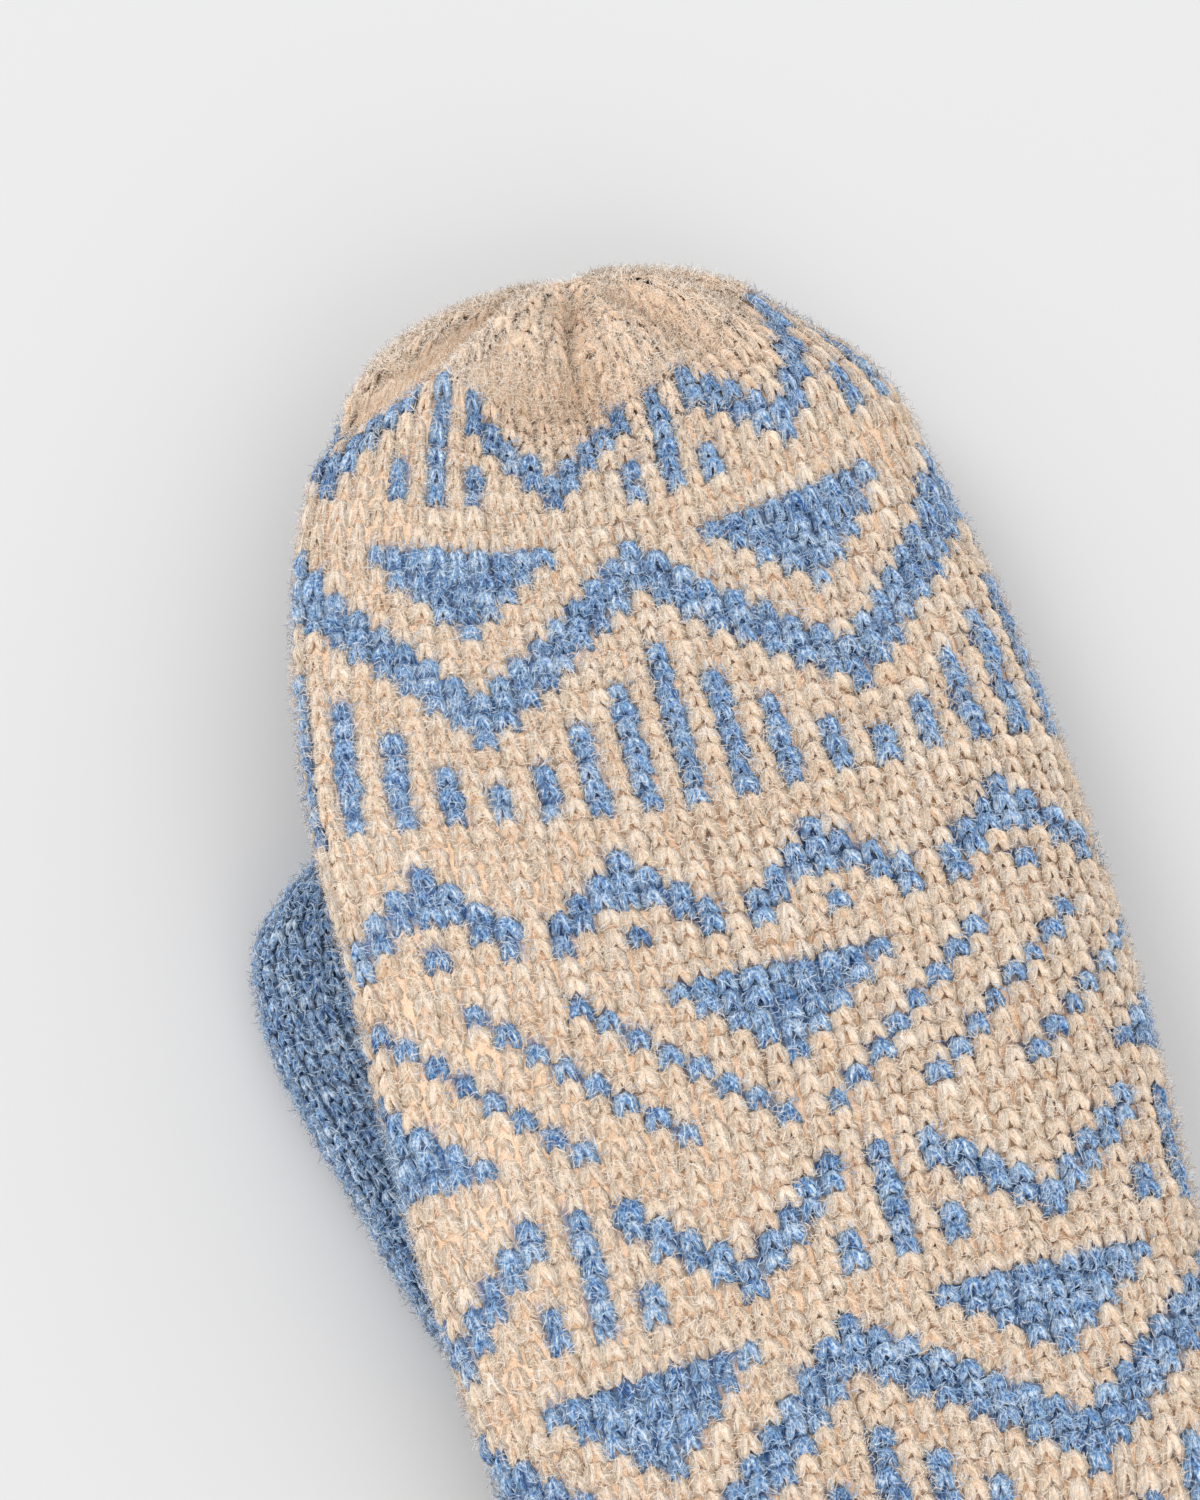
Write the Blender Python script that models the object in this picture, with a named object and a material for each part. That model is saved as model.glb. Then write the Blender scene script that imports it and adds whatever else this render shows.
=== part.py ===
"""A knitted mitten for a right hand, lying palm down with its thumb tucked under the edge of the palm.

Metres, +Z up. The length runs along Y with the gathered tip at +Y, the back of the hand is on top,
and the thumb is on the -X side. The origin is under the middle of the whole, on the surface it lies on.
"""

import math

import bmesh
import bpy
import numpy as np

# Driving sizes, in metres
HAND_LENGTH = 0.212        # gathered tip to wrist seam, as it lies
HAND_WIDTH = 0.1052        # across the knuckles
HAND_HEIGHT = 0.040        # crown of the back above the surface it lies on
CUFF_LENGTH = 0.058        # ribbed cuff, wrist seam to mouth
CUFF_WIDTH = 0.084         # across the cuff at its narrowest
CUFF_HEIGHT = 0.0248       # thickness of the cuff as it lies
THUMB_LENGTH = 0.086       # tip of the thumb to the heel of its seam
THUMB_WIDTH = 0.035
THUMB_HEIGHT = 0.0142      # the thumb is pressed flat under the palm
THUMB_SETBACK = 0.076      # how far the tip of the thumb lies behind the tip of the hand
KNIT_WALL = 0.003          # two-colour knit, with its floats
THUMB_WALL = 0.003
CUFF_WALL = 0.003
FLEECE_WALL = 0.0020
PIECE_GAP = 0.0005         # between one piece and the next
MOUTH_SETBACK = 0.004      # how far inside the mouth the fleece ends
RIB_DEPTH = 0.0008
RIB_COUNT = 16
PLEAT_DEPTH = 0.0030       # deepest fold at the drawn-in tip
DENT_DEPTH = 0.0026        # hollow across the back, behind the gathers
THUMB_HOLE_LENGTH = 0.032  # opening between hand and thumb
THUMB_HOLE_WIDTH = 0.021

# Form of a section: the powers of the sine that shape its upper and lower side, 1 being an ellipse and less a
# fuller, flatter one, and how far the underside would hang below the surface that it is pressed flat on
BACK_FULLNESS = 0.55
PALM_FULLNESS = 0.80
PRESSED = 1.25

# Mesh steps
HAND_COLUMNS = 40
THUMB_COLUMNS = 20
COLUMNS_PER_RIB = 4
FINE_TURNS = 360           # samples used to space columns evenly round a section

# Sections of the hand from tip to wrist. along: share of HAND_LENGTH. half_width and centre (its sideways place):
# shares of half HAND_WIDTH. crown and belly: reach above and below the edge line, shares of HAND_HEIGHT; the belly
# is cut off by what it lies on. lean: how much higher the right side of the crown is, share of the crown.
# left and right: height of the two edges, share of HAND_HEIGHT. lift: height of the palm over the thumb, share of
# THUMB_HEIGHT.
HAND_SECTIONS = {
    "along":      (0.000, 0.014, 0.038, 0.071, 0.118, 0.189, 0.283, 0.358, 0.401, 0.519, 0.637, 0.755, 0.873, 1.000),
    "half_width": (0.000, 0.365, 0.540, 0.670, 0.798, 0.884, 0.958, 0.990, 1.000, 0.997, 0.985, 0.943, 0.890, 0.845),
    "centre":     (0.000, 0.000, 0.000, 0.002, 0.008, -.010, -.015, -.013, -.011, 0.007, 0.013, 0.031, 0.055, 0.062),
    "crown":      (0.000, 0.150, 0.215, 0.235, 0.240, 0.245, 0.258, 0.270, 0.279, 0.307, 0.310, 0.300, 0.300, 0.310),
    "belly":      (0.000, 0.160, 0.270, 0.350, 0.430, 0.500, 0.550, 0.580, 0.590, 0.600, 0.590, 0.560, 0.480, 0.380),
    "lean":       (0.300, 0.300, 0.300, 0.300, 0.300, 0.300, 0.300, 0.300, 0.300, 0.300, 0.280, 0.200, 0.100, 0.000),
    "left":       (0.400, 0.405, 0.420, 0.440, 0.475, 0.530, 0.610, 0.665, 0.690, 0.700, 0.650, 0.520, 0.390, 0.310),
    "right":      (0.400, 0.390, 0.380, 0.370, 0.350, 0.330, 0.320, 0.320, 0.320, 0.320, 0.320, 0.320, 0.315, 0.310),
    "lift":       (0.000, 0.000, 0.000, 0.000, 0.000, 0.020, 0.380, 0.930, 1.000, 1.000, 1.000, 0.620, 0.060, 0.000),
}

# Sections of the thumb from tip to heel. centre: share of half HAND_WIDTH. half_width: share of half THUMB_WIDTH.
# middle and half_height: share of THUMB_HEIGHT.
THUMB_SECTIONS = {
    "along":       (0.000, 0.035, 0.100, 0.180, 0.300, 0.450, 0.620, 0.780, 0.900, 1.000),
    "centre":      (-0.90, -0.90, -0.90, -0.91, -0.885, -0.82, -0.73, -0.67, -0.64, -0.62),
    "half_width":  (0.000, 0.540, 0.870, 1.000, 1.010, 1.030, 1.020, 0.940, 0.740, 0.000),
    "middle":      (0.500, 0.500, 0.500, 0.500, 0.500, 0.500, 0.500, 0.470, 0.370, 0.220),
    "half_height": (0.000, 0.320, 0.450, 0.500, 0.500, 0.500, 0.500, 0.460, 0.310, 0.000),
}

# Sections of the cuff from wrist to mouth. half_width: share of half CUFF_WIDTH. height: share of CUFF_HEIGHT.
CUFF_SECTIONS = {
    "along":      (0.00, 0.14, 0.40, 0.75, 1.00),
    "half_width": (1.06, 1.01, 1.00, 1.01, 1.03),
    "height":     (1.00, 1.00, 1.00, 1.00, 1.03),
}

# Folds at the drawn-in tip. around: place round the hand, 0 at the crown and 0.25 at the right edge.
# depth: share of PLEAT_DEPTH. spread: width, share of the way round. reach: share of HAND_LENGTH.
TIP_PLEATS = {
    "around": (0.835, 0.960, 0.095, 0.215, 0.330, 0.440, 0.560, 0.690),
    "depth":  (1.000, 0.900, 0.950, 0.500, 0.800, 0.700, 0.800, 0.700),
    "spread": (0.034, 0.036, 0.034, 0.026, 0.030, 0.028, 0.030, 0.030),
    "reach":  (0.120, 0.190, 0.130, 0.110, 0.120, 0.110, 0.120, 0.120),
}
PLEAT_START, PLEAT_FULL = 0.008, 0.050     # the folds fade out towards the knot in the middle of the gather
DENT_AROUND, DENT_ALONG = 0.99, 0.125      # middle of the hollow behind the gathers
DENT_WIDE, DENT_LONG = 0.085, 0.045        # its reach round the hand and along it

# Where the wall of the thumb leaves the palm free: 1 over the thumb, falling to 0 past its inner side
LIFT_FULL, LIFT_END = 0.95, 2.30           # in half widths from the middle of the thumb
HOLE_ALONG, HOLE_CENTRE = 0.698, -0.66     # place of the thumb's opening, shares as in THUMB_SECTIONS

# Places of the rows of points, shares of each piece's length
HAND_STEPS = (0, .006, .018, .034, .054, .080, .110, .145, .185, .235, .29, .345, .40, .46, .53, .60, .67,
              .73, .79, .86, .93, 1)
THUMB_STEPS = (0, .012, .04, .09, .16, .27, .40, .53, .65, .75, .83, .90, .96, 1)
CUFF_STEPS = (0, .15, .40, .70, 1)

YARN_COLOURS = {"cream": (0.80, 0.66, 0.52), "blue": (0.16, 0.30, 0.53), "fleece": (0.84, 0.78, 0.70)}


def curve_through(table, column, at, squared=False):
    """A column of a table at any place: a smooth curve through its rows that never overshoots them.

    With squared, the squares are joined instead, so that a value that starts at 0 starts as a round end does.
    """
    xs = np.array(table["along"], float)
    ys = np.array(table[column], float)
    if squared:
        ys = ys * ys
    steps = np.diff(ys) / np.diff(xs)
    slopes = np.concatenate([steps[:1], (steps[1:] + steps[:-1]) / 2, steps[-1:]])
    turning = steps[1:] * steps[:-1] <= 0
    slopes[1:-1][turning] = 0
    limit = 3 * np.minimum(np.abs(np.append(steps, steps[-1])), np.abs(np.insert(steps, 0, steps[0])))
    slopes = np.clip(slopes, -limit, limit)
    at = np.clip(np.asarray(at, float), xs[0], xs[-1])
    k = np.clip(np.searchsorted(xs, at, side="right") - 1, 0, len(xs) - 2)
    width = xs[k + 1] - xs[k]
    t = (at - xs[k]) / width
    value = ((1 + 2 * t) * (1 - t) ** 2 * ys[k] + t * (1 - t) ** 2 * width * slopes[k]
             + t * t * (3 - 2 * t) * ys[k + 1] + t * t * (t - 1) * width * slopes[k + 1])
    return np.sqrt(np.maximum(value, 0)) if squared else value


def ease(low, high, value):
    """0 below low, 1 above high, and an even S between them."""
    t = np.clip((value - low) / (high - low), 0, 1)
    return t * t * (3 - 2 * t)


def thumb_share(y):
    """Place along the thumb, from its tip, of a place y along the mitten."""
    return (HAND_LENGTH - THUMB_SETBACK - y) / THUMB_LENGTH


def under_palm(x, y, along):
    """Height of what the palm lies on: the flat surface, or the thumb with a small gap."""
    share = thumb_share(y)
    centre = curve_through(THUMB_SECTIONS, "centre", share) * HAND_WIDTH / 2
    lifted = curve_through(HAND_SECTIONS, "lift", along)
    aside = (x - centre) / (THUMB_WIDTH / 2)
    over = 1 - ease(LIFT_FULL, LIFT_END, aside)
    return over * (lifted * THUMB_HEIGHT + PIECE_GAP * ease(0, 0.3, lifted))


def hand_point(turn, along, inset=0.0):
    """A point of the hand's form. turn: 0 at the right edge, a quarter turn at the crown. inset: how far inside.

    The edge line slopes from the raised left edge to the right one. The back is an arch over it and the palm
    hangs below it, down to what it lies on. Inside, the same form is drawn smaller.
    """
    half = curve_through(HAND_SECTIONS, "half_width", along, squared=True) * (HAND_WIDTH / 2 - inset)
    crown = curve_through(HAND_SECTIONS, "crown", along, squared=True)
    crown = crown * (HAND_HEIGHT - inset / max(HAND_SECTIONS["crown"]))
    belly = curve_through(HAND_SECTIONS, "belly", along, squared=True)
    belly = belly * (HAND_HEIGHT - inset / max(HAND_SECTIONS["belly"]))
    left = curve_through(HAND_SECTIONS, "left", along) * HAND_HEIGHT
    right = curve_through(HAND_SECTIONS, "right", along) * HAND_HEIGHT
    centre = curve_through(HAND_SECTIONS, "centre", along) * HAND_WIDTH / 2
    x = centre + half * np.cos(turn)
    y = (1 - along) * (HAND_LENGTH - inset) + 0 * turn
    edge = right + (left - right) * (1 - np.cos(turn)) / 2
    rise = np.sin(turn)
    crown = crown * (1 + curve_through(HAND_SECTIONS, "lean", along) * np.cos(turn))
    z = edge + np.where(rise > 0, crown * np.abs(rise) ** BACK_FULLNESS, -belly * np.abs(rise) ** PALM_FULLNESS)
    lowest = under_palm(x, y, along) + inset
    return np.stack([x, y, np.where(rise < 0, np.maximum(z, lowest), z)], axis=-1)


def thumb_point(turn, along, inset=0.0):
    """A point of the thumb's form, flat where it lies. turn and inset as for the hand."""
    centre = curve_through(THUMB_SECTIONS, "centre", along) * HAND_WIDTH / 2
    half = curve_through(THUMB_SECTIONS, "half_width", along, squared=True) * (THUMB_WIDTH / 2 - inset)
    middle = curve_through(THUMB_SECTIONS, "middle", along) * THUMB_HEIGHT
    reach = curve_through(THUMB_SECTIONS, "half_height", along, squared=True) * (THUMB_HEIGHT - 2 * inset)
    rise = np.sin(turn)
    x = centre + half * np.cos(turn)
    tip = HAND_LENGTH - THUMB_SETBACK
    y = tip - inset - along * (THUMB_LENGTH - 2 * inset) + 0 * turn
    bow = np.where(rise > 0, np.abs(rise) ** BACK_FULLNESS, -PRESSED * np.abs(rise) ** PALM_FULLNESS)
    z = middle + reach * bow
    return np.stack([x, y, np.maximum(z, inset)], axis=-1)


def cuff_point(turn, along, inset=0.0):
    """A point of the cuff's form, without its ribs."""
    half = curve_through(CUFF_SECTIONS, "half_width", along) * CUFF_WIDTH / 2 - inset
    height = curve_through(CUFF_SECTIONS, "height", along) * CUFF_HEIGHT
    rise = np.sin(turn)
    centre = HAND_SECTIONS["centre"][-1] * HAND_WIDTH / 2
    x = centre + half * np.cos(turn)
    y = -PIECE_GAP - along * (CUFF_LENGTH - PIECE_GAP) + 0 * turn
    bow = np.where(rise > 0, np.abs(rise) ** BACK_FULLNESS, -PRESSED * np.abs(rise) ** PALM_FULLNESS)
    z = height / 2 + (height / 2 - inset) * bow
    return np.stack([x, y, np.maximum(z, inset)], axis=-1)


def even_turns(point, along, around):
    """The turns that lie at the given shares of the way round a section, from the crown over the right edge."""
    fine = math.pi / 2 - np.linspace(0, 2 * math.pi, FINE_TURNS + 1)
    ring = point(fine, np.full_like(fine, along))
    walked = np.concatenate([[0], np.cumsum(np.linalg.norm(np.diff(ring, axis=0), axis=1))])
    if walked[-1] < 1e-9:
        return math.pi / 2 - 2 * math.pi * around
    return np.interp(around, walked / walked[-1], fine)


def surface(point, steps, columns, inset=0.0):
    """A grid of points, one row for each step along and one column for each even share of the way round."""
    around = np.arange(columns) / columns
    rows = [point(even_turns(point, step, around), np.full(columns, float(step)), inset) for step in steps]
    return np.array(rows)


def normals_of(grid):
    """Outward normals of a grid that closes on itself across its columns."""
    round_about = np.roll(grid, -1, axis=1) - np.roll(grid, 1, axis=1)
    lengthwise = np.gradient(grid, axis=0)
    normal = np.cross(lengthwise, round_about)
    size = np.linalg.norm(normal, axis=2, keepdims=True)
    return normal / np.maximum(size, 1e-12)


def tip_folds(around, along):
    """How far the surface sinks in at the tip: radial folds of the gather, and a hollow behind them."""
    depth = np.zeros(np.broadcast(around, along).shape)
    for at, deep, spread, reach in zip(*(TIP_PLEATS[c] for c in ("around", "depth", "spread", "reach"))):
        aside = (around - at + 0.5) % 1 - 0.5
        fade = ease(PLEAT_START, PLEAT_FULL, along) * (1 - ease(0.35 * reach, reach, along))
        depth += PLEAT_DEPTH * deep * np.exp(-((aside / spread) ** 2)) * fade
    aside = (around - DENT_AROUND + 0.5) % 1 - 0.5
    depth += DENT_DEPTH * np.exp(-((aside / DENT_WIDE) ** 2) - ((along - DENT_ALONG) / DENT_LONG) ** 2)
    return depth


def hand_surface(inset=0.0):
    """The hand's form at an inset, with its folds. The knit and the fleece share the same folds."""
    around = np.arange(HAND_COLUMNS) / HAND_COLUMNS
    along = np.array(HAND_STEPS)[:, None]
    sunk = normals_of(surface(hand_point, HAND_STEPS, HAND_COLUMNS)) * tip_folds(around, along)[..., None]
    return surface(hand_point, HAND_STEPS, HAND_COLUMNS, inset) - sunk


def lining_surface(depth):
    """The fleece bag's form: through the hand and on through the cuff, ending just inside its mouth.

    depth: how far inside the face of the fleece that touches the knit.
    """
    in_cuff = surface(cuff_point, CUFF_STEPS, HAND_COLUMNS, CUFF_WALL + PIECE_GAP + depth)
    in_cuff[-1, :, 1] += MOUTH_SETBACK
    return np.concatenate([hand_surface(KNIT_WALL + PIECE_GAP + depth)[:-1], in_cuff])


def cuff_surface():
    """The outside of the cuff with its ribs."""
    columns = RIB_COUNT * COLUMNS_PER_RIB
    around = np.arange(columns) / columns
    grid = surface(cuff_point, CUFF_STEPS, columns)
    ribs = RIB_DEPTH * (1 - np.cos(2 * math.pi * RIB_COUNT * around)) / 2
    sunk = grid - normals_of(grid) * ribs[None, :, None]
    sunk[..., 1] = grid[..., 1]
    sunk[..., 2] = np.where(grid[..., 2] <= 0, 0, sunk[..., 2])
    return sunk


def add_shell(name, outside, inside, colour):
    """A hollow cloth piece between two grids. A row that is one point is closed there; other end rows get a rim."""
    work = bmesh.new()
    skins = []
    for grid, flip in ((outside, False), (inside, True)):
        skin = []
        for row in grid:
            is_pole = np.ptp(row, axis=0).max() < 1e-7
            skin.append([work.verts.new(row[0])] if is_pole else [work.verts.new(p) for p in row])
        skins.append(skin)
        for upper, lower in zip(skin, skin[1:]):
            bridge(work, upper, lower, flip)
    for end, flip in ((0, True), (-1, False)):
        if len(skins[0][end]) > 1:
            bridge(work, skins[0][end], skins[1][end], flip)
    mesh = bpy.data.meshes.new(name)
    work.to_mesh(mesh)
    work.free()
    mesh.shade_smooth()
    mesh.materials.append(colour)
    return bpy.data.objects.new(name, mesh)


def bridge(work, upper, lower, flip):
    """Triangles between two rings of points, or between a ring and one point. flip: facing the other way."""
    count = max(len(upper), len(lower))
    for c in range(count):
        d = (c + 1) % count
        triangles = []
        if len(lower) > 1:
            triangles.append((upper[c % len(upper)], lower[c], lower[d]))
        if len(upper) > 1:
            triangles.append((upper[c], lower[d % len(lower)], upper[d]))
        for corners in triangles:
            work.faces.new(corners[::-1] if flip else corners)


def cut_by(obj, cutter):
    """A hole where the cutter is."""
    cut = obj.modifiers.new("thumb_hole", "BOOLEAN")
    cut.operation = "DIFFERENCE"
    cut.solver = "EXACT"
    cut.object = cutter


def yarn(name, colour):
    """A matt yarn of one colour."""
    material = bpy.data.materials.new(name)
    material.use_nodes = True
    shader = material.node_tree.nodes["Principled BSDF"]
    shader.inputs["Base Color"].default_value = (*colour, 1)
    shader.inputs["Roughness"].default_value = 0.95
    shader.inputs["Metallic"].default_value = 0
    return material


def thumb_hole_cutter():
    """An oval plug through the palm and the top of the thumb, from one hollow to the other."""
    bottom = THUMB_HEIGHT / 2
    top = THUMB_HEIGHT + KNIT_WALL + FLEECE_WALL + 3 * PIECE_GAP + 0.0015
    bpy.ops.mesh.primitive_cylinder_add(vertices=28, radius=0.5, depth=1)
    plug = bpy.context.object
    plug.name = "thumb_hole_plug"
    for vertex in plug.data.vertices:
        vertex.co.x *= THUMB_HOLE_WIDTH
        vertex.co.y *= THUMB_HOLE_LENGTH
        vertex.co.z *= top - bottom
    plug.location = (HOLE_CENTRE * HAND_WIDTH / 2,
                     HAND_LENGTH - THUMB_SETBACK - HOLE_ALONG * THUMB_LENGTH,
                     (top + bottom) / 2)
    plug.hide_render = True
    plug.display_type = "WIRE"
    return plug


def place_on_origin(pieces):
    """Hangs the pieces on an empty, so that the middle of the whole is over the origin."""
    points = np.array([v.co for piece in pieces for v in piece.data.vertices])
    low, high = points.min(axis=0), points.max(axis=0)
    anchor = bpy.data.objects.new("mitten_origin", None)
    anchor.location = (-(low[0] + high[0]) / 2, -(low[1] + high[1]) / 2, -low[2])
    return anchor


def main():
    for old in list(bpy.data.objects):
        bpy.data.objects.remove(old, do_unlink=True)
    mitten = bpy.data.collections.new("mitten")
    cutters = bpy.data.collections.new("cutters")
    bpy.context.scene.collection.children.link(mitten)
    bpy.context.scene.collection.children.link(cutters)

    cream, blue = yarn("cream_yarn", YARN_COLOURS["cream"]), yarn("blue_yarn", YARN_COLOURS["blue"])
    fleece = yarn("fleece", YARN_COLOURS["fleece"])

    hand = add_shell("hand_shell", hand_surface(), hand_surface(KNIT_WALL), cream)
    thumb = add_shell("thumb", surface(thumb_point, THUMB_STEPS, THUMB_COLUMNS),
                      surface(thumb_point, THUMB_STEPS, THUMB_COLUMNS, THUMB_WALL), blue)
    columns = RIB_COUNT * COLUMNS_PER_RIB
    cuff = add_shell("ribbed_cuff", cuff_surface(), surface(cuff_point, CUFF_STEPS, columns, CUFF_WALL), blue)
    lining = add_shell("fleece_lining", lining_surface(0), lining_surface(FLEECE_WALL), fleece)

    plug = thumb_hole_cutter()
    for piece in (hand, thumb, lining):
        cut_by(piece, plug)

    pieces = (hand, thumb, cuff, lining)
    anchor = place_on_origin(pieces)
    mitten.objects.link(anchor)
    for piece in pieces:
        piece.parent = anchor
        mitten.objects.link(piece)
    for collection in list(plug.users_collection):
        collection.objects.unlink(plug)
    cutters.objects.link(plug)
    plug.parent = anchor
    bpy.context.view_layer.update()


main()
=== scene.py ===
# %% [markdown]
# # A knitted mitten, lying palm down
# The mitten is knitted in two colours of brushed yarn: a cream ground with mid-blue bars, zigzags,
# triangles and dotted diagonals. Its tip is drawn in by gathering, its thumb is plain blue and lies tucked
# under the palm, and a ribbed cuff holds the wrist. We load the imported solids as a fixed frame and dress
# them with real stitches.

# %% Load the frame
import math

import bmesh
import bpy
import numpy as np
from mathutils import Matrix, Vector


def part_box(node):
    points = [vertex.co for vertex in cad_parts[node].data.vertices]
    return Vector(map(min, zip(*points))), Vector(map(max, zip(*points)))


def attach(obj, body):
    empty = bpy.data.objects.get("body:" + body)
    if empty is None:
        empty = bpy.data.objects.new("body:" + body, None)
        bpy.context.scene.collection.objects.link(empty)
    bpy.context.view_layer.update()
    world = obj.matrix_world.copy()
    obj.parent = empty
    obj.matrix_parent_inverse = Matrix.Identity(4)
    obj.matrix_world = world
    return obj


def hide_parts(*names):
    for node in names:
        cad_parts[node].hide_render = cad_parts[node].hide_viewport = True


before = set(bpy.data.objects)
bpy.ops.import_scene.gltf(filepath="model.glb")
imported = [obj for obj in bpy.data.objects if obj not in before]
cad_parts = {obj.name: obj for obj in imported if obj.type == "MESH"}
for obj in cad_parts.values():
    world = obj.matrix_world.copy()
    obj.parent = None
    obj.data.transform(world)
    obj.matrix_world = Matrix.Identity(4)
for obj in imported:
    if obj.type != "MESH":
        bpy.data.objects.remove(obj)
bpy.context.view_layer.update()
MM = 0.001
hand_low, hand_high = (np.array(corner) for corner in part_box("hand_shell"))
thumb_low, thumb_high = (np.array(corner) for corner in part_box("thumb"))
cuff_low, cuff_high = (np.array(corner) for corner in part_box("ribbed_cuff"))
print("hand box, mm:", (hand_low / MM).round(1), (hand_high / MM).round(1))

# %% [markdown]
# ## The form of the hand
# Knitting has no edges, so the hand is one closed tube that is drawn in at the tip. We could sculpt it, or
# fit a cage with subdivision. A table of sections is easier to read and to change: each row gives the half
# width, the height of the two side edges, and how far the back rises above them and the palm hangs below. A
# smooth curve through each column then gives the section at any place along the hand. The same sections
# shape the solids, so the knit lies on them without any fitting.

# %% Sections of the hand
KNOT_BACK = 0.6 * MM              # the hand's knit is gathered this much short of the solid's tip
THUMB_BACK = 2.0 * MM             # the thumb's knit ends this much short of the solid's tip
HAND_LENGTH = hand_high[1] - hand_low[1] - KNOT_BACK
HAND_WIDTH = 105.2 * MM
HAND_HEIGHT = 40.0 * MM
HAND_MIDDLE = 6.12 * MM           # sideways place of the hand's middle line
THUMB_LENGTH = thumb_high[1] - thumb_low[1]
THUMB_WIDTH = 35.0 * MM
THUMB_HEIGHT = thumb_high[2] - thumb_low[2]
CUFF_LENGTH = cuff_high[1] - cuff_low[1]
CUFF_WIDTH, CUFF_HEIGHT = 84.0 * MM, 24.8 * MM
GAP = 0.5 * MM                    # between the palm and the thumb
BESIDE_THUMB = (0.95, 2.30)       # half thumb widths out between which the palm comes down to the surface
BACK_FULLNESS = 0.55              # powers of the sine above and below the edge line: less is fuller
PALM_FULLNESS = 0.80
PRESSED = 1.25                    # how much fuller the thumb and cuff are underneath, before they lie flat


def by_column(names, *rows):
    """A table that is written with one row for each section, as one list of numbers for each column."""
    return dict(zip(names, zip(*rows)))


HAND_SECTIONS = by_column(
    ("along", "half_width", "centre", "crown", "belly", "lean", "left", "right", "lift"),
    (  0.000,        0.000,    0.000,   0.000,   0.000,  0.300,  0.400,   0.400,  0.000),
    (  0.014,        0.365,    0.000,   0.150,   0.160,  0.300,  0.405,   0.390,  0.000),
    (  0.038,        0.540,    0.000,   0.215,   0.270,  0.300,  0.420,   0.380,  0.000),
    (  0.071,        0.670,    0.002,   0.235,   0.350,  0.300,  0.440,   0.370,  0.000),
    (  0.118,        0.798,    0.008,   0.240,   0.430,  0.300,  0.475,   0.350,  0.000),
    (  0.189,        0.884,   -0.010,   0.245,   0.500,  0.300,  0.530,   0.330,  0.020),
    (  0.283,        0.958,   -0.015,   0.258,   0.550,  0.300,  0.610,   0.320,  0.380),
    (  0.358,        0.990,   -0.013,   0.270,   0.580,  0.300,  0.665,   0.320,  0.930),
    (  0.401,        1.000,   -0.011,   0.279,   0.590,  0.300,  0.690,   0.320,  1.000),
    (  0.519,        0.997,    0.007,   0.307,   0.600,  0.300,  0.700,   0.320,  1.000),
    (  0.637,        0.985,    0.013,   0.310,   0.590,  0.280,  0.650,   0.320,  1.000),
    (  0.755,        0.943,    0.031,   0.300,   0.560,  0.200,  0.520,   0.320,  0.620),
    (  0.873,        0.890,    0.055,   0.300,   0.480,  0.100,  0.390,   0.315,  0.060),
    (  1.000,        0.845,    0.062,   0.310,   0.380,  0.000,  0.310,   0.310,  0.000),
)
THUMB_SECTIONS = by_column(
    ("along", "centre", "half_width", "middle", "half_height"),
    (  0.000,    -0.82,        0.000,    0.500,         0.000),
    (  0.035,   -0.825,        0.430,    0.500,         0.320),
    (  0.100,    -0.84,        0.760,    0.500,         0.450),
    (  0.180,    -0.87,        0.950,    0.500,         0.500),
    (  0.300,   -0.865,        1.000,    0.500,         0.500),
    (  0.450,    -0.81,        1.020,    0.500,         0.500),
    (  0.620,    -0.72,        1.010,    0.500,         0.500),
    (  0.780,    -0.66,        0.940,    0.470,         0.460),
    (  0.900,    -0.63,        0.740,    0.370,         0.310),
    (  1.000,    -0.61,        0.000,    0.220,         0.000),
)
CUFF_SECTIONS = by_column(
    ("along", "half_width", "height"),
    (   0.00,         1.06,     1.00),
    (   0.14,         1.01,     1.00),
    (   0.40,         1.00,     1.00),
    (   0.75,         1.01,     1.00),
    (   1.00,         1.03,     1.03),
)


def curve_through(table, column, at, squared=False):
    """A column of a table at any place: a smooth curve through its rows that never overshoots them.

    Between two rows it is a cubic whose slopes are the mean of the neighbours' slopes, or 0 where the column
    turns. With squared, the squares are joined instead, so that what starts at 0 starts as a round end.
    """
    xs, ys = np.array(table["along"], float), np.array(table[column], float)
    ys = ys * ys if squared else ys
    steps = np.diff(ys) / np.diff(xs)
    slopes = np.concatenate([steps[:1], (steps[1:] + steps[:-1]) / 2, steps[-1:]])
    slopes[1:-1][steps[1:] * steps[:-1] <= 0] = 0
    limit = 3 * np.minimum(np.abs(np.append(steps, steps[-1])), np.abs(np.insert(steps, 0, steps[0])))
    slopes = np.clip(slopes, -limit, limit)
    at = np.clip(np.asarray(at, float), xs[0], xs[-1])
    k = np.clip(np.searchsorted(xs, at, side="right") - 1, 0, len(xs) - 2)
    width = xs[k + 1] - xs[k]
    t = (at - xs[k]) / width
    value = ((1 + 2 * t) * (1 - t) ** 2 * ys[k] + t * (1 - t) ** 2 * width * slopes[k]
             + t * t * (3 - 2 * t) * ys[k + 1] + t * t * (t - 1) * width * slopes[k + 1])
    return np.sqrt(np.maximum(value, 0)) if squared else value


def ease(low, high, value):
    """0 below low, 1 above high, and an even S between them."""
    t = np.clip((value - low) / (high - low), 0, 1)
    return t * t * (3 - 2 * t)


def under_palm(x, y, along):
    """Height of what the palm lies on: the flat surface, or the thumb with a small gap."""
    share = (thumb_high[1] - y) / THUMB_LENGTH
    centre = HAND_MIDDLE + curve_through(THUMB_SECTIONS, "centre", share) * HAND_WIDTH / 2
    lifted = curve_through(HAND_SECTIONS, "lift", along)
    over = 1 - ease(*BESIDE_THUMB, (x - centre) / (THUMB_WIDTH / 2))
    return over * (lifted * THUMB_HEIGHT + GAP * ease(0, 0.3, lifted))


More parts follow.
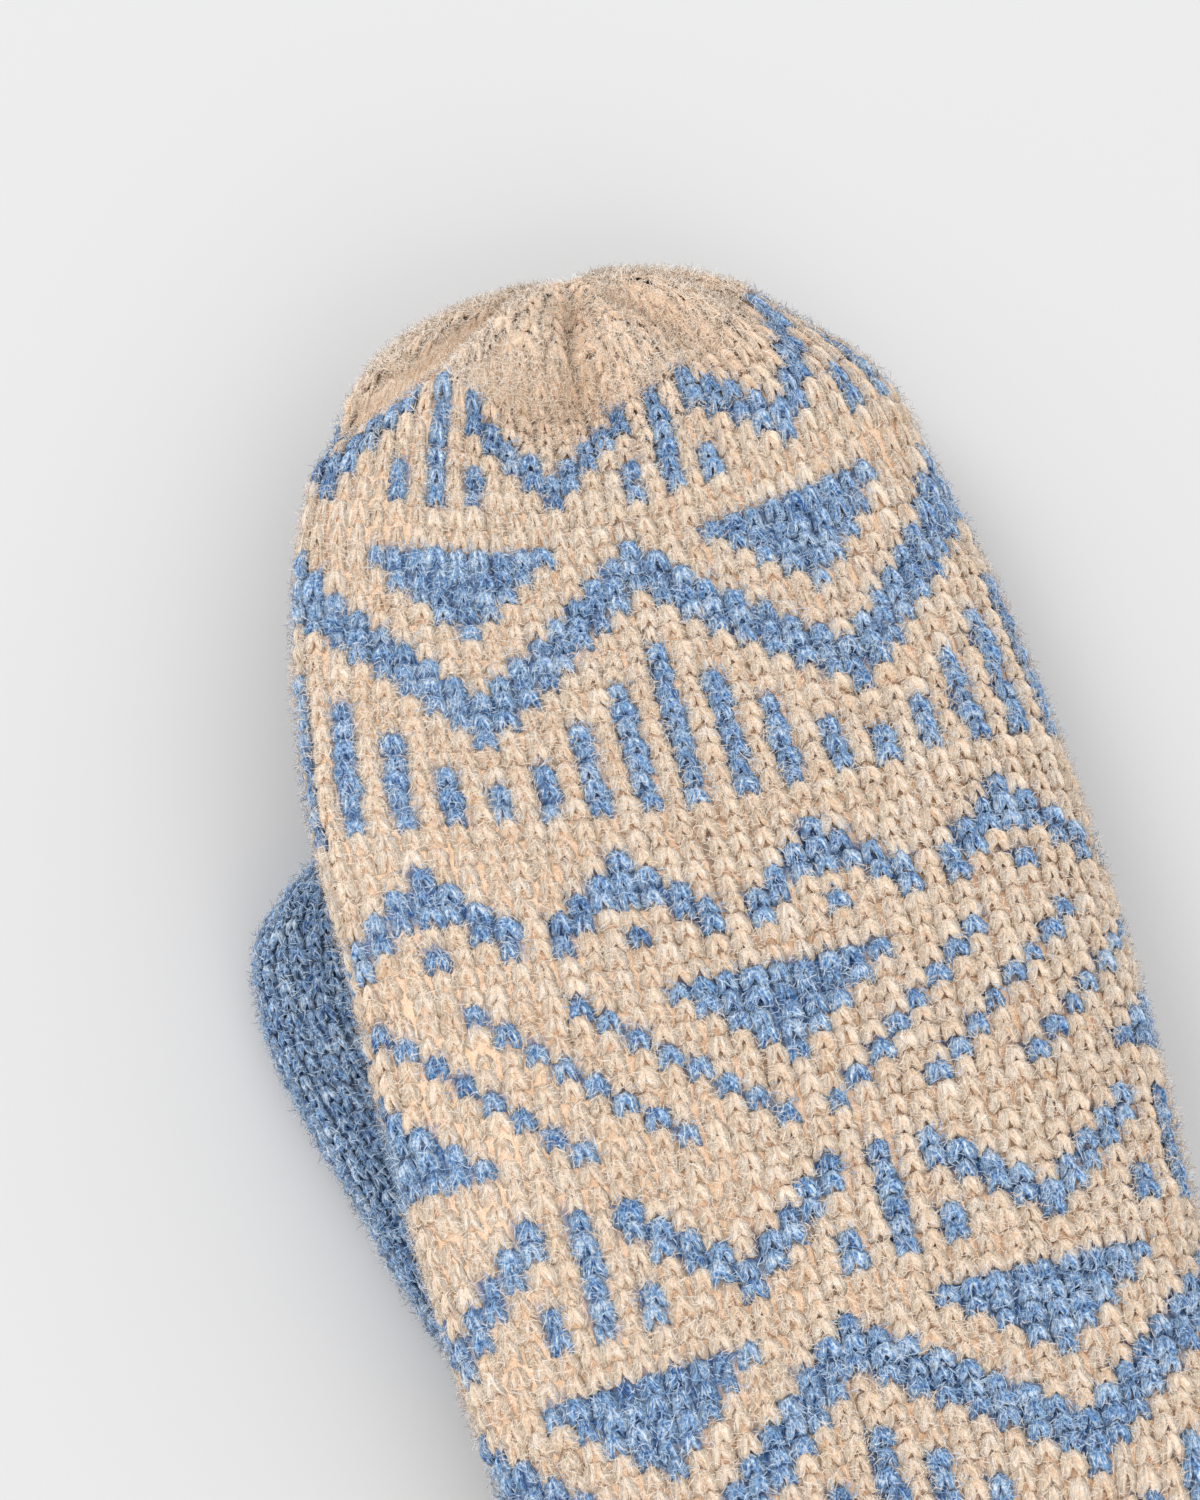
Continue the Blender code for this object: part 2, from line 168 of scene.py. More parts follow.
def bow_of(turn):
    """Height of a section over its edge line, as a share of its reach.

    It is a power of the turn's sine, which is flatter than an arch.
    """
    rise = np.sin(turn)
    return np.where(rise > 0, np.abs(rise) ** BACK_FULLNESS, -np.abs(rise) ** PALM_FULLNESS)


def hand_form(turn, along, inset=0.0):
    """A point of the hand. turn: 0 at the right edge, a quarter turn at the crown. inset: how far inside.

    Sideways it is the middle line + the half width times the turn's cosine. Its height is the line from edge
    to edge + crown or belly times the bow. The crown leans to one side, and the palm rests on what is below.
    """
    half = curve_through(HAND_SECTIONS, "half_width", along, squared=True) * (HAND_WIDTH / 2 - inset)
    crown = curve_through(HAND_SECTIONS, "crown", along, squared=True)
    crown = crown * (HAND_HEIGHT - inset / max(HAND_SECTIONS["crown"]))
    crown = crown * (1 + curve_through(HAND_SECTIONS, "lean", along) * np.cos(turn))
    belly = curve_through(HAND_SECTIONS, "belly", along, squared=True)
    belly = belly * (HAND_HEIGHT - inset / max(HAND_SECTIONS["belly"]))
    left = curve_through(HAND_SECTIONS, "left", along) * HAND_HEIGHT
    right = curve_through(HAND_SECTIONS, "right", along) * HAND_HEIGHT
    x = HAND_MIDDLE + curve_through(HAND_SECTIONS, "centre", along) * HAND_WIDTH / 2 + half * np.cos(turn)
    y = hand_low[1] + (1 - along) * (HAND_LENGTH - inset) + 0 * turn
    bow = bow_of(turn)
    z = right + (left - right) * (1 - np.cos(turn)) / 2 + np.where(bow > 0, crown, belly) * bow
    z = np.where(bow < 0, np.maximum(z, under_palm(x, y, along) + inset), z)
    return np.stack([x, y, z], axis=-1)


def thumb_form(turn, along, inset=0.0):
    """A point of the thumb: a section as the hand's, with even sides, flat where it lies."""
    half = curve_through(THUMB_SECTIONS, "half_width", along, squared=True) * (THUMB_WIDTH / 2 - inset)
    middle = curve_through(THUMB_SECTIONS, "middle", along) * THUMB_HEIGHT
    reach = curve_through(THUMB_SECTIONS, "half_height", along, squared=True) * (THUMB_HEIGHT - 2 * inset)
    x = HAND_MIDDLE + curve_through(THUMB_SECTIONS, "centre", along) * HAND_WIDTH / 2 + half * np.cos(turn)
    y = thumb_high[1] - THUMB_BACK - inset - along * (THUMB_LENGTH - THUMB_BACK - 2 * inset) + 0 * turn
    bow = bow_of(turn)
    z = middle + reach * np.where(bow > 0, bow, PRESSED * bow)
    return np.stack([x, y, np.maximum(z, inset)], axis=-1)


def cuff_form(turn, along, inset=0.0):
    """A point of the cuff without its ribs: a section as the thumb's, the same for most of its length."""
    half = curve_through(CUFF_SECTIONS, "half_width", along) * CUFF_WIDTH / 2 - inset
    height = curve_through(CUFF_SECTIONS, "height", along) * CUFF_HEIGHT
    x = HAND_MIDDLE + HAND_SECTIONS["centre"][-1] * HAND_WIDTH / 2 + half * np.cos(turn)
    y = cuff_high[1] - along * CUFF_LENGTH + 0 * turn
    bow = bow_of(turn)
    z = height / 2 + (height / 2 - inset) * np.where(bow > 0, bow, PRESSED * bow)
    return np.stack([x, y, np.maximum(z, inset)], axis=-1)


crown_height = hand_form(np.array(math.pi / 2), 0.5)[2]
lengths = (HAND_LENGTH, THUMB_LENGTH, CUFF_LENGTH)
print("hand, thumb and cuff lengths, mm:", [round(float(v) / MM, 1) for v in lengths])
print("height of the back half way along, mm:", round(float(crown_height) / MM, 1))

# %% [markdown]
# ## From a form to a fabric
# Knitting has its own grid: columns of stitches, called wales, run along the hand, and rows, called
# courses, run round it. To place thousands of stitches we need to ask, for any wale and any row, where on
# the form it lies and which way is out. So we work the form out once on a fine grid that follows the
# knitting, and read any point from it by straight lines between its neighbours. That is quick, and the
# stitches bend with the form.

# %% A fabric grid
FINE_TURNS = 720                  # steps round a form when its even steps are found


def even_ring(form, along, columns, start, inset=0.0):
    """One section of a form, at even steps round it from the crown over the right edge.

    The even steps are measured on the outside of the form, so that the rings of an inner wall match them.
    """
    fine = math.pi / 2 - np.linspace(0, 2 * math.pi, FINE_TURNS + 1)
    ring = form(fine, np.full_like(fine, along))
    walked = np.concatenate([[0], np.cumsum(np.linalg.norm(np.diff(ring, axis=0), axis=1))])
    share = (start + np.arange(columns) / columns) % 1
    turns = np.interp(share, walked / max(walked[-1], 1e-9), fine)
    return form(turns, np.full(columns, float(along)), inset)


def outward(grid):
    """Outward unit normals of a grid: the way down its rows cross the way round its columns."""
    across = np.roll(grid, -1, axis=1) - np.roll(grid, 1, axis=1)
    normal = np.cross(np.gradient(grid, axis=0), across)
    normal /= np.maximum(np.linalg.norm(normal, axis=2, keepdims=True), 1e-12)
    return normal


class Fabric:
    """A grid of places and normals, read by wale and row. Wale 0 is the middle of the back.

    drift: a function that says where a wale and row have been pulled to on the grid. sunk: how deep in a fold
    each place lies, in mm.
    """

    def __init__(self, places, wales, first_row, last_row, drift=None, sunk=None):
        self.places, self.normals, self.drift = places, outward(places), drift
        self.wales, self.first_row, self.last_row = wales, first_row, last_row
        self.sunk = np.zeros(places.shape[:2]) if sunk is None else sunk

    def at(self, wale, row, height=0.0):
        """Places on the fabric, lifted along the normal by height. All three may be arrays of one shape."""
        lift = self.read(self.normals, wale, row) * np.asarray(height)[..., None]
        return self.read(self.places, wale, row) + lift

    def fold_at(self, wale, row):
        """How deep in a fold a place lies, in mm."""
        return self.read(self.sunk[..., None], wale, row)[..., 0]

    def read(self, grid, wale, row):
        """A grid of vectors read at a wale and row, by straight lines between its four neighbours."""
        rows, columns = grid.shape[:2]
        if self.drift:
            wale, row = self.drift(wale, row)
        down = np.clip((row - self.first_row) / (self.last_row - self.first_row), 0, 1) * (rows - 1)
        over = (wale / self.wales % 1) * columns
        i = np.clip(down.astype(int), 0, rows - 2)
        j = over.astype(int) % columns
        f, g = (down - i)[..., None], (over - np.floor(over))[..., None]
        k = (j + 1) % columns
        return ((grid[i, j] * (1 - g) + grid[i, k] * g) * (1 - f)
                + (grid[i + 1, j] * (1 - g) + grid[i + 1, k] * g) * f)


# %% [markdown]
# ## The gathered tip
# The tip is closed by running the yarn through the last stitches and pulling it tight, so the knit puckers
# in folds that run out from the knot, and the first bands of pattern dip behind them. Cloth simulation
# could find such folds, but not these ones. A short table places each fold round the hand instead, with its
# depth, width and reach, and a soft bump function sinks the surface there.

# %% Folds at the tip
TIP_PLEATS = {
    "around": (0.888, 0.920, 0.984, 0.988, 0.062, 0.150, 0.215, 0.330, 0.440, 0.560, 0.680),
    "slant":  (-1.40, -0.90, 0.000, 0.000, 0.500, 0.300, 0.000, 0.000, 0.000, 0.000, 0.000),
    "depth":  (1.350, -0.70, 0.900, 1.000, 1.350, 0.800, 0.600, 0.900, 0.800, 0.900, 0.700),
    "spread": (0.032, 0.026, 0.016, 0.044, 0.032, 0.022, 0.026, 0.030, 0.028, 0.030, 0.030),
    "reach":  (0.140, 0.150, 0.160, 0.080, 0.135, 0.120, 0.110, 0.120, 0.110, 0.120, 0.120),
}
PLEAT_DEPTH = 3.0 * MM
PLEAT_START, PLEAT_FULL = 0.001, 0.026      # shares of the way along where the folds begin and are whole
PLEAT_WHOLE = 0.45                          # share of its reach up to which a fold stays whole
PLEAT_AT = 0.030                            # where along a fold the table's place round the hand is meant
DENT_DEPTH = 4.6 * MM                       # the hollow behind the folds
DENT_AROUND, DENT_ALONG = 0.965, 0.112      # its place, and its size below, as shares of round and along
DENT_WIDE, DENT_LONG = 0.072, 0.034


def tip_folds(around, along):
    """How far the surface sinks in: a bell curve across each fold that fades along it, and a hollow behind.

    A fold lies where the table says at PLEAT_AT of the way along, and slants round the hand from there.
    """
    depth = np.zeros(np.broadcast(around, along).shape)
    for at, slant, deep, spread, reach in zip(*TIP_PLEATS.values()):
        aside = (around - at - slant * (along - PLEAT_AT) + 0.5) % 1 - 0.5
        fade = ease(PLEAT_START, PLEAT_FULL, along) * (1 - ease(PLEAT_WHOLE * reach, reach, along))
        depth += PLEAT_DEPTH * deep * np.exp(-((aside / spread) ** 2)) * fade
    aside = (around - DENT_AROUND + 0.5) % 1 - 0.5
    return depth + DENT_DEPTH * np.exp(-((aside / DENT_WIDE) ** 2) - ((along - DENT_ALONG) / DENT_LONG) ** 2)


deepest = tip_folds(np.linspace(0, 1, 200)[None, :], np.linspace(0, 0.2, 100)[:, None]).max()
print(len(TIP_PLEATS["around"]), "folds and a hollow, deepest place, mm:", round(float(deepest) / MM, 1))

# %% [markdown]
# ## Where each row lies
# Row 0 is the top of the upper big zigzag. Below it the rows are a steady 2.7 mm apart. Above it they share
# what is left of the way to the knot. But soft knitting never lies square: towards the sides its rows creep
# up to the tip, and lower down the whole pattern leans over. We measure how far the bands stray at three
# rows, and let a smooth curve carry the drift between them. Waves round the hand keep it closed.

# %% The hand's fabric
HAND_WALES = 72
TIP_ROW = -20
ROW_ZERO_Y, ROW_PITCH = 83.4 * MM, 2.70 * MM
LAST_ROW = (ROW_ZERO_Y - hand_low[1]) / ROW_PITCH
WALE_START = -0.0064              # share of the way round from the crown to wale 0
SAMPLES_PER_WALE, SAMPLES_PER_ROW = 6, 6
FORM_RINGS, RING_CROWDING = 240, 1.35       # a crowding above 1 puts more of the rings near the tip
DRIFT_FROM, DRIFT_TO = -12, 51              # rows between which the drift is whole
KNIT_DRIFT = {
    "row":        (-8, 20, 48),
    "wales_all":  (-0.40, -0.15, -0.10),
    "wales_side": (-0.15, 0.00, 1.05),
    "wales_bow":  (0.80, 0.50, 0.40),
    "rows_all":   (-1.40, 0.35, -1.10),
    "rows_side":  (-0.75, -0.70, -2.00),
    "rows_bow":   (-2.70, -1.70, 0.60),
}


def knit_drift(wale, row):
    """Where a wale and row of the hand are pulled to.

    Each is moved by a constant, a sine round the hand and its square, and their sizes are the parabolas
    through the table's three rows. The drift dies out at the knot and at the wrist.
    """
    wave = np.sin(2 * math.pi * wale / HAND_WALES)
    first, middle, last = KNIT_DRIFT["row"]
    t = (row - middle) / (last - middle)
    fade = ease(TIP_ROW, DRIFT_FROM, row) * (1 - ease(DRIFT_TO, LAST_ROW, row))

    def size(column):
        a, b, c = KNIT_DRIFT[column]
        return b + t * (c - a) / 2 + t * t * ((a + c) / 2 - b)

    aside = size("wales_all") + size("wales_side") * wave + size("wales_bow") * wave * wave
    down = size("rows_all") + size("rows_side") * wave + size("rows_bow") * wave * wave
    return wale + fade * aside, row + fade * down


def hand_fabric(inset=0.0):
    """The hand's form read by wale and row.

    Along each column, rows are even steps of the way walked on it: one step size from the knot to row 0, and
    another from there to the wrist.
    """
    columns = HAND_WALES * SAMPLES_PER_WALE
    alongs = np.linspace(0, 1, FORM_RINGS) ** RING_CROWDING
    around = (WALE_START + np.arange(columns) / columns) % 1
    outside = np.array([even_ring(hand_form, a, columns, WALE_START) for a in alongs])
    folds = tip_folds(around[None, :], alongs[:, None])
    sunk = outward(outside) * folds[..., None]
    form = outside
    if inset:
        form = np.array([even_ring(hand_form, a, columns, WALE_START, inset) for a in alongs])
    form = form - sunk
    steps = np.linalg.norm(np.diff(form, axis=0), axis=2)
    walked = np.concatenate([np.zeros((1, columns)), np.cumsum(steps, axis=0)])
    rows = np.linspace(TIP_ROW, LAST_ROW, int((LAST_ROW - TIP_ROW) * SAMPLES_PER_ROW) + 1)
    zero_along = 1 - (ROW_ZERO_Y - hand_low[1]) / HAND_LENGTH
    places, depths = np.zeros((len(rows), columns, 3)), np.zeros((len(rows), columns))
    for c in range(columns):
        zero = np.interp(zero_along, alongs, walked[:, c])
        below = zero + rows * (walked[-1, c] - zero) / LAST_ROW
        wanted = np.where(rows < 0, zero * (1 - rows / TIP_ROW), below)
        along = np.interp(wanted, walked[:, c], alongs)
        for k in range(3):
            places[:, c, k] = np.interp(along, alongs, form[:, c, k])
        depths[:, c] = np.interp(along, alongs, folds[:, c]) / MM
    return Fabric(places, HAND_WALES, TIP_ROW, LAST_ROW, knit_drift, depths)


hand = hand_fabric()
print("hand fabric:", hand.places.shape, "rows to", round(LAST_ROW, 1))

# %% [markdown]
# ## The pattern, charted
# A knitter reads such a pattern from a chart with one square for each stitch. Ours is written as rules,
# because each band is a simple repeat: distances folded into a triangle wave give zigzags, roofs, bars and
# triangles. The bands stack to 42 rows and then start again.

# %% The chart
BAND_REPEAT = 42


def folded(wale, centre, period):
    """Distance in wales to the nearest centre of a repeat: 0 on it, half the period between two of them."""
    return np.abs((wale - centre + period / 2) % period - period / 2)


def chart_wale(wale):
    """The same wale counted from the middle of the back to both sides, as the chart counts it."""
    return (wale + HAND_WALES / 2) % HAND_WALES - HAND_WALES / 2


def is_blue(wale, row):
    """True where a stitch is blue. wale and row are whole numbers in arrays.

    The loops hold, for one band each, a distance from the middle of its motif and the first and last row that
    are blue at that distance.
    """
    r = row % BAND_REPEAT
    zig = folded(wale, 0, 16)
    blue = (zig <= r) & (r <= zig + 2)
    blue |= (r <= 4) & (folded(wale, 8, 16) <= 4 - r)
    for distance, first, last in ((0, 6, 14), (2, 8, 14), (4, 10, 14), (6, 12, 14), (8, 13, 14)):
        blue |= (zig == distance) & (r >= first) & (r <= last)
    roof = folded(wale, 4, 8)
    for distance, first, last in ((0, 17, 19), (1, 18, 19), (2, 19, 20), (3, 20, 21), (0, 21, 21)):
        blue |= (roof == distance) & (r >= first) & (r <= last)
    far, s = folded(wale, 1, 34), r - 24
    in_band = (s >= 0) & (s <= 7)
    blue |= in_band & (((s <= 4) & (far <= 4 - s)) | ((s >= 3) & (17 - far <= s - 3)))
    for start in (8, 12, 16):
        blue |= in_band & (far == start - s)
    bar, t = folded(wale, 3, 12), r - 34
    bar_rows = ((0, 0, 5), (2, 0, 1), (2, 4, 5), (3, 1, 2), (4, 2, 3), (5, 3, 4), (6, 4, 5))
    for distance, first, last in bar_rows:
        blue |= (bar == distance) & (t >= first) & (t <= last)
    return blue & (row >= 34 - BAND_REPEAT)


sample = is_blue(*np.meshgrid(np.arange(-18, 18), np.arange(0, 42)))
print("share of blue stitches on the back:", round(float(sample.mean()), 2))

# %% [markdown]
# ## One stitch
# A knit stitch shows two legs that meet in a point towards the tip. Each leg is a short fat drop of yarn.
# We make it as a tube: a centre line that runs down and outwards, a radius that swells and closes at both
# ends, and a lift that arches over the row below. The drop is a few dozen triangles, because it is repeated
# thousands of times, and the brushed surface comes from the material and from loose fibres.

# %% Legs of a stitch
LEG_TOP, LEG_LENGTH = -0.24, 1.32           # rows: where a leg's centre line starts, and how far it runs down
LEG_ASIDE, LEG_SPLAY = 0.055, 0.29          # wales: how far from the stitch's middle it starts, and spreads
LEG_RADIUS, LEG_THICK = 0.25, 0.68          # half its width in wales, and half its thickness in mm
LEG_FLOOR, LEG_ARCH = 0.05, 0.40            # mm: the height of its centre line at the ends, and its rise


def leg_template(sides, rings):
    """A leg in stitch units: columns are wale offset, row offset, height in mm, and two texture coordinates.

    With s from 0 at its top to 1 at its foot, the centre line is LEG_ASIDE + LEG_SPLAY s^0.8 wales aside and
    LEG_TOP + LEG_LENGTH s rows down, and rises by LEG_ARCH times a half sine. The tube round it swells with
    the root of a sine, and both of its ends close in a point.
    """
    s = np.linspace(0.09, 0.93, rings)
    angle = math.pi / 2 + 2 * math.pi * np.arange(sides) / sides
    swell = np.sin(math.pi * (0.12 + 0.80 * s)) ** 0.5
    wale = LEG_ASIDE + LEG_SPLAY * s[:, None] ** 0.8 + LEG_RADIUS * swell[:, None] * np.cos(angle)
    row = LEG_TOP + LEG_LENGTH * s[:, None] + 0.06 * np.sin(angle)
    height = LEG_FLOOR + LEG_ARCH * np.sin(math.pi * s[:, None]) + LEG_THICK * swell[:, None] * np.sin(angle)
    u, v = s[:, None] + 0 * angle, 0 * s[:, None] + np.arange(sides) / sides
    ring = np.stack([wale, row, height, u, v], axis=-1).reshape(-1, 5)
    top = [0.06, -0.22, -0.40, 0, 0.5]
    end = [0.35, 1.08, -0.40, 1, 0.5]
    points = np.vstack([ring, top, end])
    faces = []
    for i in range(rings - 1):
        for c in range(sides):
            d = (c + 1) % sides
            a, b = i * sides, (i + 1) * sides
            faces += [(a + c, b + d, b + c), (a + c, a + d, b + d)]
    first, last = rings * sides, rings * sides + 1
    for c in range(sides):
        d = (c + 1) % sides
        faces += [(first, d, c), (last, (rings - 1) * sides + c, (rings - 1) * sides + d)]
    return points, np.array(faces)


def stitch_template(sides, rings):
    """Both legs: the second is the mirror image of the first, with its faces turned round again."""
    leg, faces = leg_template(sides, rings)
    other = leg * np.array([-1, 1, 1, 1, 1])
    return np.vstack([leg, other]), np.vstack([faces, faces[:, ::-1] + len(leg)])


FULL_STITCH = stitch_template(5, 4)
PLAIN_STITCH = stitch_template(4, 3)
print("triangles in a stitch:", len(FULL_STITCH[1]), "on the back,", len(PLAIN_STITCH[1]), "underneath")

# %% [markdown]
# ## Many stitches as one mesh
# Thousands of objects would be slow, so each region becomes one mesh made from arrays: every stitch takes
# the template's points, shifts them to its wale and row, and reads their places from the fabric. Small
# random changes of place and thickness, always from the same seed, keep it from looking machined. Three
# numbers stay with each point: whether the yarn is blue, how light this bit of yarn is, which holds painted
# shade in the tip's folds and painted light on the cap, and how deep it lies in a gap, which sets how much
# of the gaps' painted colour it takes.

# %% Mesh makers


def new_piece(name, points, faces, attributes=None, uv=None, smooth=True, normals=None):
    """A mesh object at the origin from arrays. attributes: name to one number per point. uv: two per point.

    normals: one per point, if it isn't to be shaded by its own form.
    """
    points, faces = np.asarray(points, np.float32), np.asarray(faces, np.int32)
    corners = faces.shape[1]
    mesh = bpy.data.meshes.new(name)
    mesh.vertices.add(len(points))
    mesh.vertices.foreach_set("co", points.ravel())
    mesh.loops.add(faces.size)
    mesh.loops.foreach_set("vertex_index", faces.ravel())
    mesh.polygons.add(len(faces))
    mesh.polygons.foreach_set("loop_start", np.arange(0, faces.size, corners, dtype=np.int32))
    mesh.polygons.foreach_set("loop_total", np.full(len(faces), corners, np.int32))
    mesh.polygons.foreach_set("use_smooth", np.full(len(faces), smooth))
    for key, values in (attributes or {}).items():
        mesh.attributes.new(key, "FLOAT", "POINT").data.foreach_set("value", np.asarray(values, np.float32))
    if uv is not None:
        layer = mesh.uv_layers.new(name="yarn")
        layer.data.foreach_set("uv", np.asarray(uv, np.float32)[faces.ravel()].ravel())
    mesh.update()
    mesh.validate()
    if normals is not None:
        own = mesh.attributes.new("custom_normal", "FLOAT_VECTOR", "POINT")
        own.data.foreach_set("vector", np.asarray(normals, np.float32).ravel())
    obj = bpy.data.objects.new(name, mesh)
    bpy.context.scene.collection.objects.link(obj)
    return obj


SINK = 0.95 * MM                  # how far a stitch's zero height lies under the form, so that it ends on it
STITCH_CLEAR = 0.05 * MM          # stitches stay at least this far over the surface that the mitten lies on
FIBRE_CLEAR = 0.1 * MM            # and loose fibres this far
RIB_CLEAR = 0.3 * MM              # and the cuff's ribs this far
YARN_TOP, YARN_THICK = 0.95, 1.2  # mm: yarn over this height is out of the gaps, this far below it in them, where it takes their painted colour
PAINTED_GLOW_LIGHT = 3.2                  # how much lighter a stitch with the cap's full painted glow is painted
FOLD_SHADE = 0.80                 # painted shade: how much darker the yarn is painted for each mm of depth in a fold


def knit(name, fabric, wale, row, blue, template, seed, width=1.0, loft=1.0, painted_glow=0.0):
    """Stitches at the given wales and rows.

    width: wales that one stitch spans, more where stitches are joined. loft: share of its full thickness.
    painted_glow: how much of the gaps' painted colour the whole stitch takes, which also paints it lighter:
    painted light on the cap.
    Each point lies at its stitch's wale and row + the template's offset + a small random shift, at the
    template's height times the loft, measured from the top of the yarn down.
    """
    random = np.random.default_rng(seed)
    points, faces = template
    count = len(wale)
    width, loft, painted_glow = (np.broadcast_to(np.asarray(v, float), (count,)) for v in (width, loft, painted_glow))
    shift = random.normal(0, 0.075, (count, 2))
    fat = random.normal(1, 0.11, count)
    lift = random.normal(0, 0.09, count)
    rough = random.normal(0, 0.045, (count, len(points), 3))
    w = wale[:, None] + (points[:, 0] * fat[:, None] + shift[:, :1] + rough[..., 0]) * width[:, None]
    r = row[:, None] + points[:, 1] + shift[:, 1:] + rough[..., 1]
    h = (points[:, 2] * fat[:, None] + lift[:, None] + 2 * rough[..., 2] - 1) * loft[:, None] * MM + MM - SINK
    places = fabric.at(w, r, h).reshape(-1, 3)
    places[:, 2] = np.maximum(places[:, 2], STITCH_CLEAR)
    # each stitch's own random tone, painted lighter by the cap's painted glow
    own_shade = random.normal(0, 1, count) + PAINTED_GLOW_LIGHT * painted_glow
    # painted shade in the tip's folds: darker for each mm of depth
    shade = (own_shade[:, None] - FOLD_SHADE * fabric.fold_at(w, r)).ravel()
    # how deep a point lies in the gaps, + the cap's painted glow: how much of the gaps' painted colour it
    # takes
    depth = np.clip((YARN_TOP - points[:, 2]) / YARN_THICK, 0, 1) * loft[:, None] + painted_glow[:, None]
    u = points[:, 3] + random.uniform(0, 40, count)[:, None]
    v = points[:, 4] + random.uniform(0, 40, count)[:, None]
    all_faces = (faces[None] + np.arange(count)[:, None, None] * len(points)).reshape(-1, 3)
    numbers = {"blue": np.repeat(blue, len(points)), "shade": shade, "depth": depth.ravel()}
    piece = new_piece(name, places, all_faces, numbers, np.stack([u.ravel(), v.ravel()], -1))
    print(name, count, "stitches,", len(all_faces), "triangles")
    return piece


def shell(name, outside, inside, blue=0.0, depth=1.0):
    """A closed wall between two grids whose first row is the gathered point or an open edge.

    Each grid's columns close on themselves. A first row that is all one place becomes one point, and the
    other end rows are joined by a rim. blue and depth are numbers, or grids that match the outside. depth
    is how much of the gaps' painted colour the wall takes.
    """
    places, faces, starts = [], [], []
    for grid, flip in ((outside, False), (inside, True)):
        rows, columns = grid.shape[:2]
        start = sum(len(p) for p in places)
        starts.append(start)
        places.append(grid.reshape(-1, 3))
        i, j = np.meshgrid(np.arange(rows - 1), np.arange(columns), indexing="ij")
        k = (j + 1) % columns
        quads = np.stack([i * columns + j, (i + 1) * columns + j, (i + 1) * columns + k, i * columns + k], -1)
        quads = quads.reshape(-1, 4) + start
        faces.append(quads[:, ::-1] if flip else quads)
    rows, columns = outside.shape[:2]
    j = np.arange(columns)
    k = (j + 1) % columns
    for end, flip in ((0, True), (rows - 1, False)):
        rim = np.stack([starts[0] + end * columns + j, starts[1] + end * columns + j,
                        starts[1] + end * columns + k, starts[0] + end * columns + k], -1)
        closed = np.ptp(outside[end], axis=0).max() < 1e-6
        if not closed:
            faces.append(rim[:, ::-1] if flip else rim)
    points = np.vstack(places)
    numbers = {"shade": np.zeros(len(points))}
    for key, value in (("blue", blue), ("depth", depth)):
        numbers[key] = np.tile(np.broadcast_to(np.asarray(value, float), outside.shape[:2]).ravel(), 2)
    i, j = np.meshgrid(np.arange(rows), np.arange(columns), indexing="ij")
    uv = np.tile(np.stack([i.ravel() * 0.5, j.ravel() * 0.25], -1), (2, 1))
    obj = new_piece(name, points, np.vstack(faces), numbers, uv)
    merge_poles(obj)
    return obj


def merge_poles(obj):
    """Merges the points that lie on one place, such as the ring at a gathered tip."""
    work = bmesh.new()
    work.from_mesh(obj.data)
    bmesh.ops.remove_doubles(work, verts=work.verts, dist=1e-6)
    bmesh.ops.dissolve_degenerate(work, edges=work.edges, dist=1e-7)
    work.to_mesh(obj.data)
    work.free()


# %% [markdown]
# ## The hand
# The stitches lie on a plain backing, which is the floats and the inside of the fabric: it closes the small
# gaps between the legs, and it follows the chart too, so that no wrong colour shows through. It takes the
# gaps' painted colour: a painted warm glow under the cream and painted shade under the blue. Near the knot
# a knitter works stitches together, so the last rows have half and then a quarter as many, each one wider.

# %% The hand's stitches
FULL_ROW, HALF_ROW = -11, -16     # first rows with all the stitches, and with half of them
BACK_REACH = 20                   # wales to each side of the middle that count as the back
LAST_STITCH_ROW = int(LAST_ROW) - 1


def rows_of_stitches(first, last, step, low, high):
    """Wales and rows of all stitches in a block of the fabric, as two flat arrays."""
    wale, row = np.meshgrid(np.arange(low, high, step), np.arange(first, last + 1))
    return wale.ravel().astype(float), row.ravel().astype(float)


def loft_of(row):
    """The cap is knitted tighter than the rest: 0.66 of the full thickness, and all of it from row -4 on."""
    return 0.66 + 0.34 * ease(-11, -4, row)


def painted_cap_glow_of(row):
    """Painted light on the cap's tight knit, warmer and lighter: 0.8 of the gaps' painted colour, and none
    from row -4 on.
    """
    return 0.8 * (1 - ease(-10, -4, row))


def hand_stitches(name, first, last, back, seed):
    """A block of the hand's rows, on the back or underneath."""
    if back:
        wale, row = rows_of_stitches(first, last, 1, -BACK_REACH, BACK_REACH + 1)
    else:
        wale, row = rows_of_stitches(first, last, 1, BACK_REACH + 1, HAND_WALES - BACK_REACH)
    blue = is_blue(chart_wale(wale).astype(int), row.astype(int)).astype(float)
    template = FULL_STITCH if back else PLAIN_STITCH
    painted_glow = painted_cap_glow_of(row) * (1 - blue)
    return knit(name, hand, wale, row, blue, template, seed, loft=loft_of(row), painted_glow=painted_glow)


# Each block of stitches has a seed of its own, which is its last number.
pieces = [
    hand_stitches("back_stitches_upper", FULL_ROW, 10, True, 11),
    hand_stitches("back_stitches_middle", 11, 35, True, 12),
    hand_stitches("back_stitches_lower", 36, LAST_STITCH_ROW, True, 13),
    hand_stitches("palm_stitches", FULL_ROW, LAST_STITCH_ROW, False, 14),
]
half_wale, half_row = rows_of_stitches(HALF_ROW, FULL_ROW - 1, 2, -36, 36)
quarter_wale, quarter_row = rows_of_stitches(TIP_ROW, HALF_ROW - 1, 4, -36, 36)
wale = np.concatenate([half_wale + 0.5, quarter_wale + 1.5])
row = np.concatenate([half_row, quarter_row])
width = np.where(row < HALF_ROW, 4.0, 2.0)
loft, painted_glow = loft_of(row), painted_cap_glow_of(row)
pieces.append(knit("tip_stitches", hand, wale, row, 0 * wale, FULL_STITCH, 15, width, loft, painted_glow))

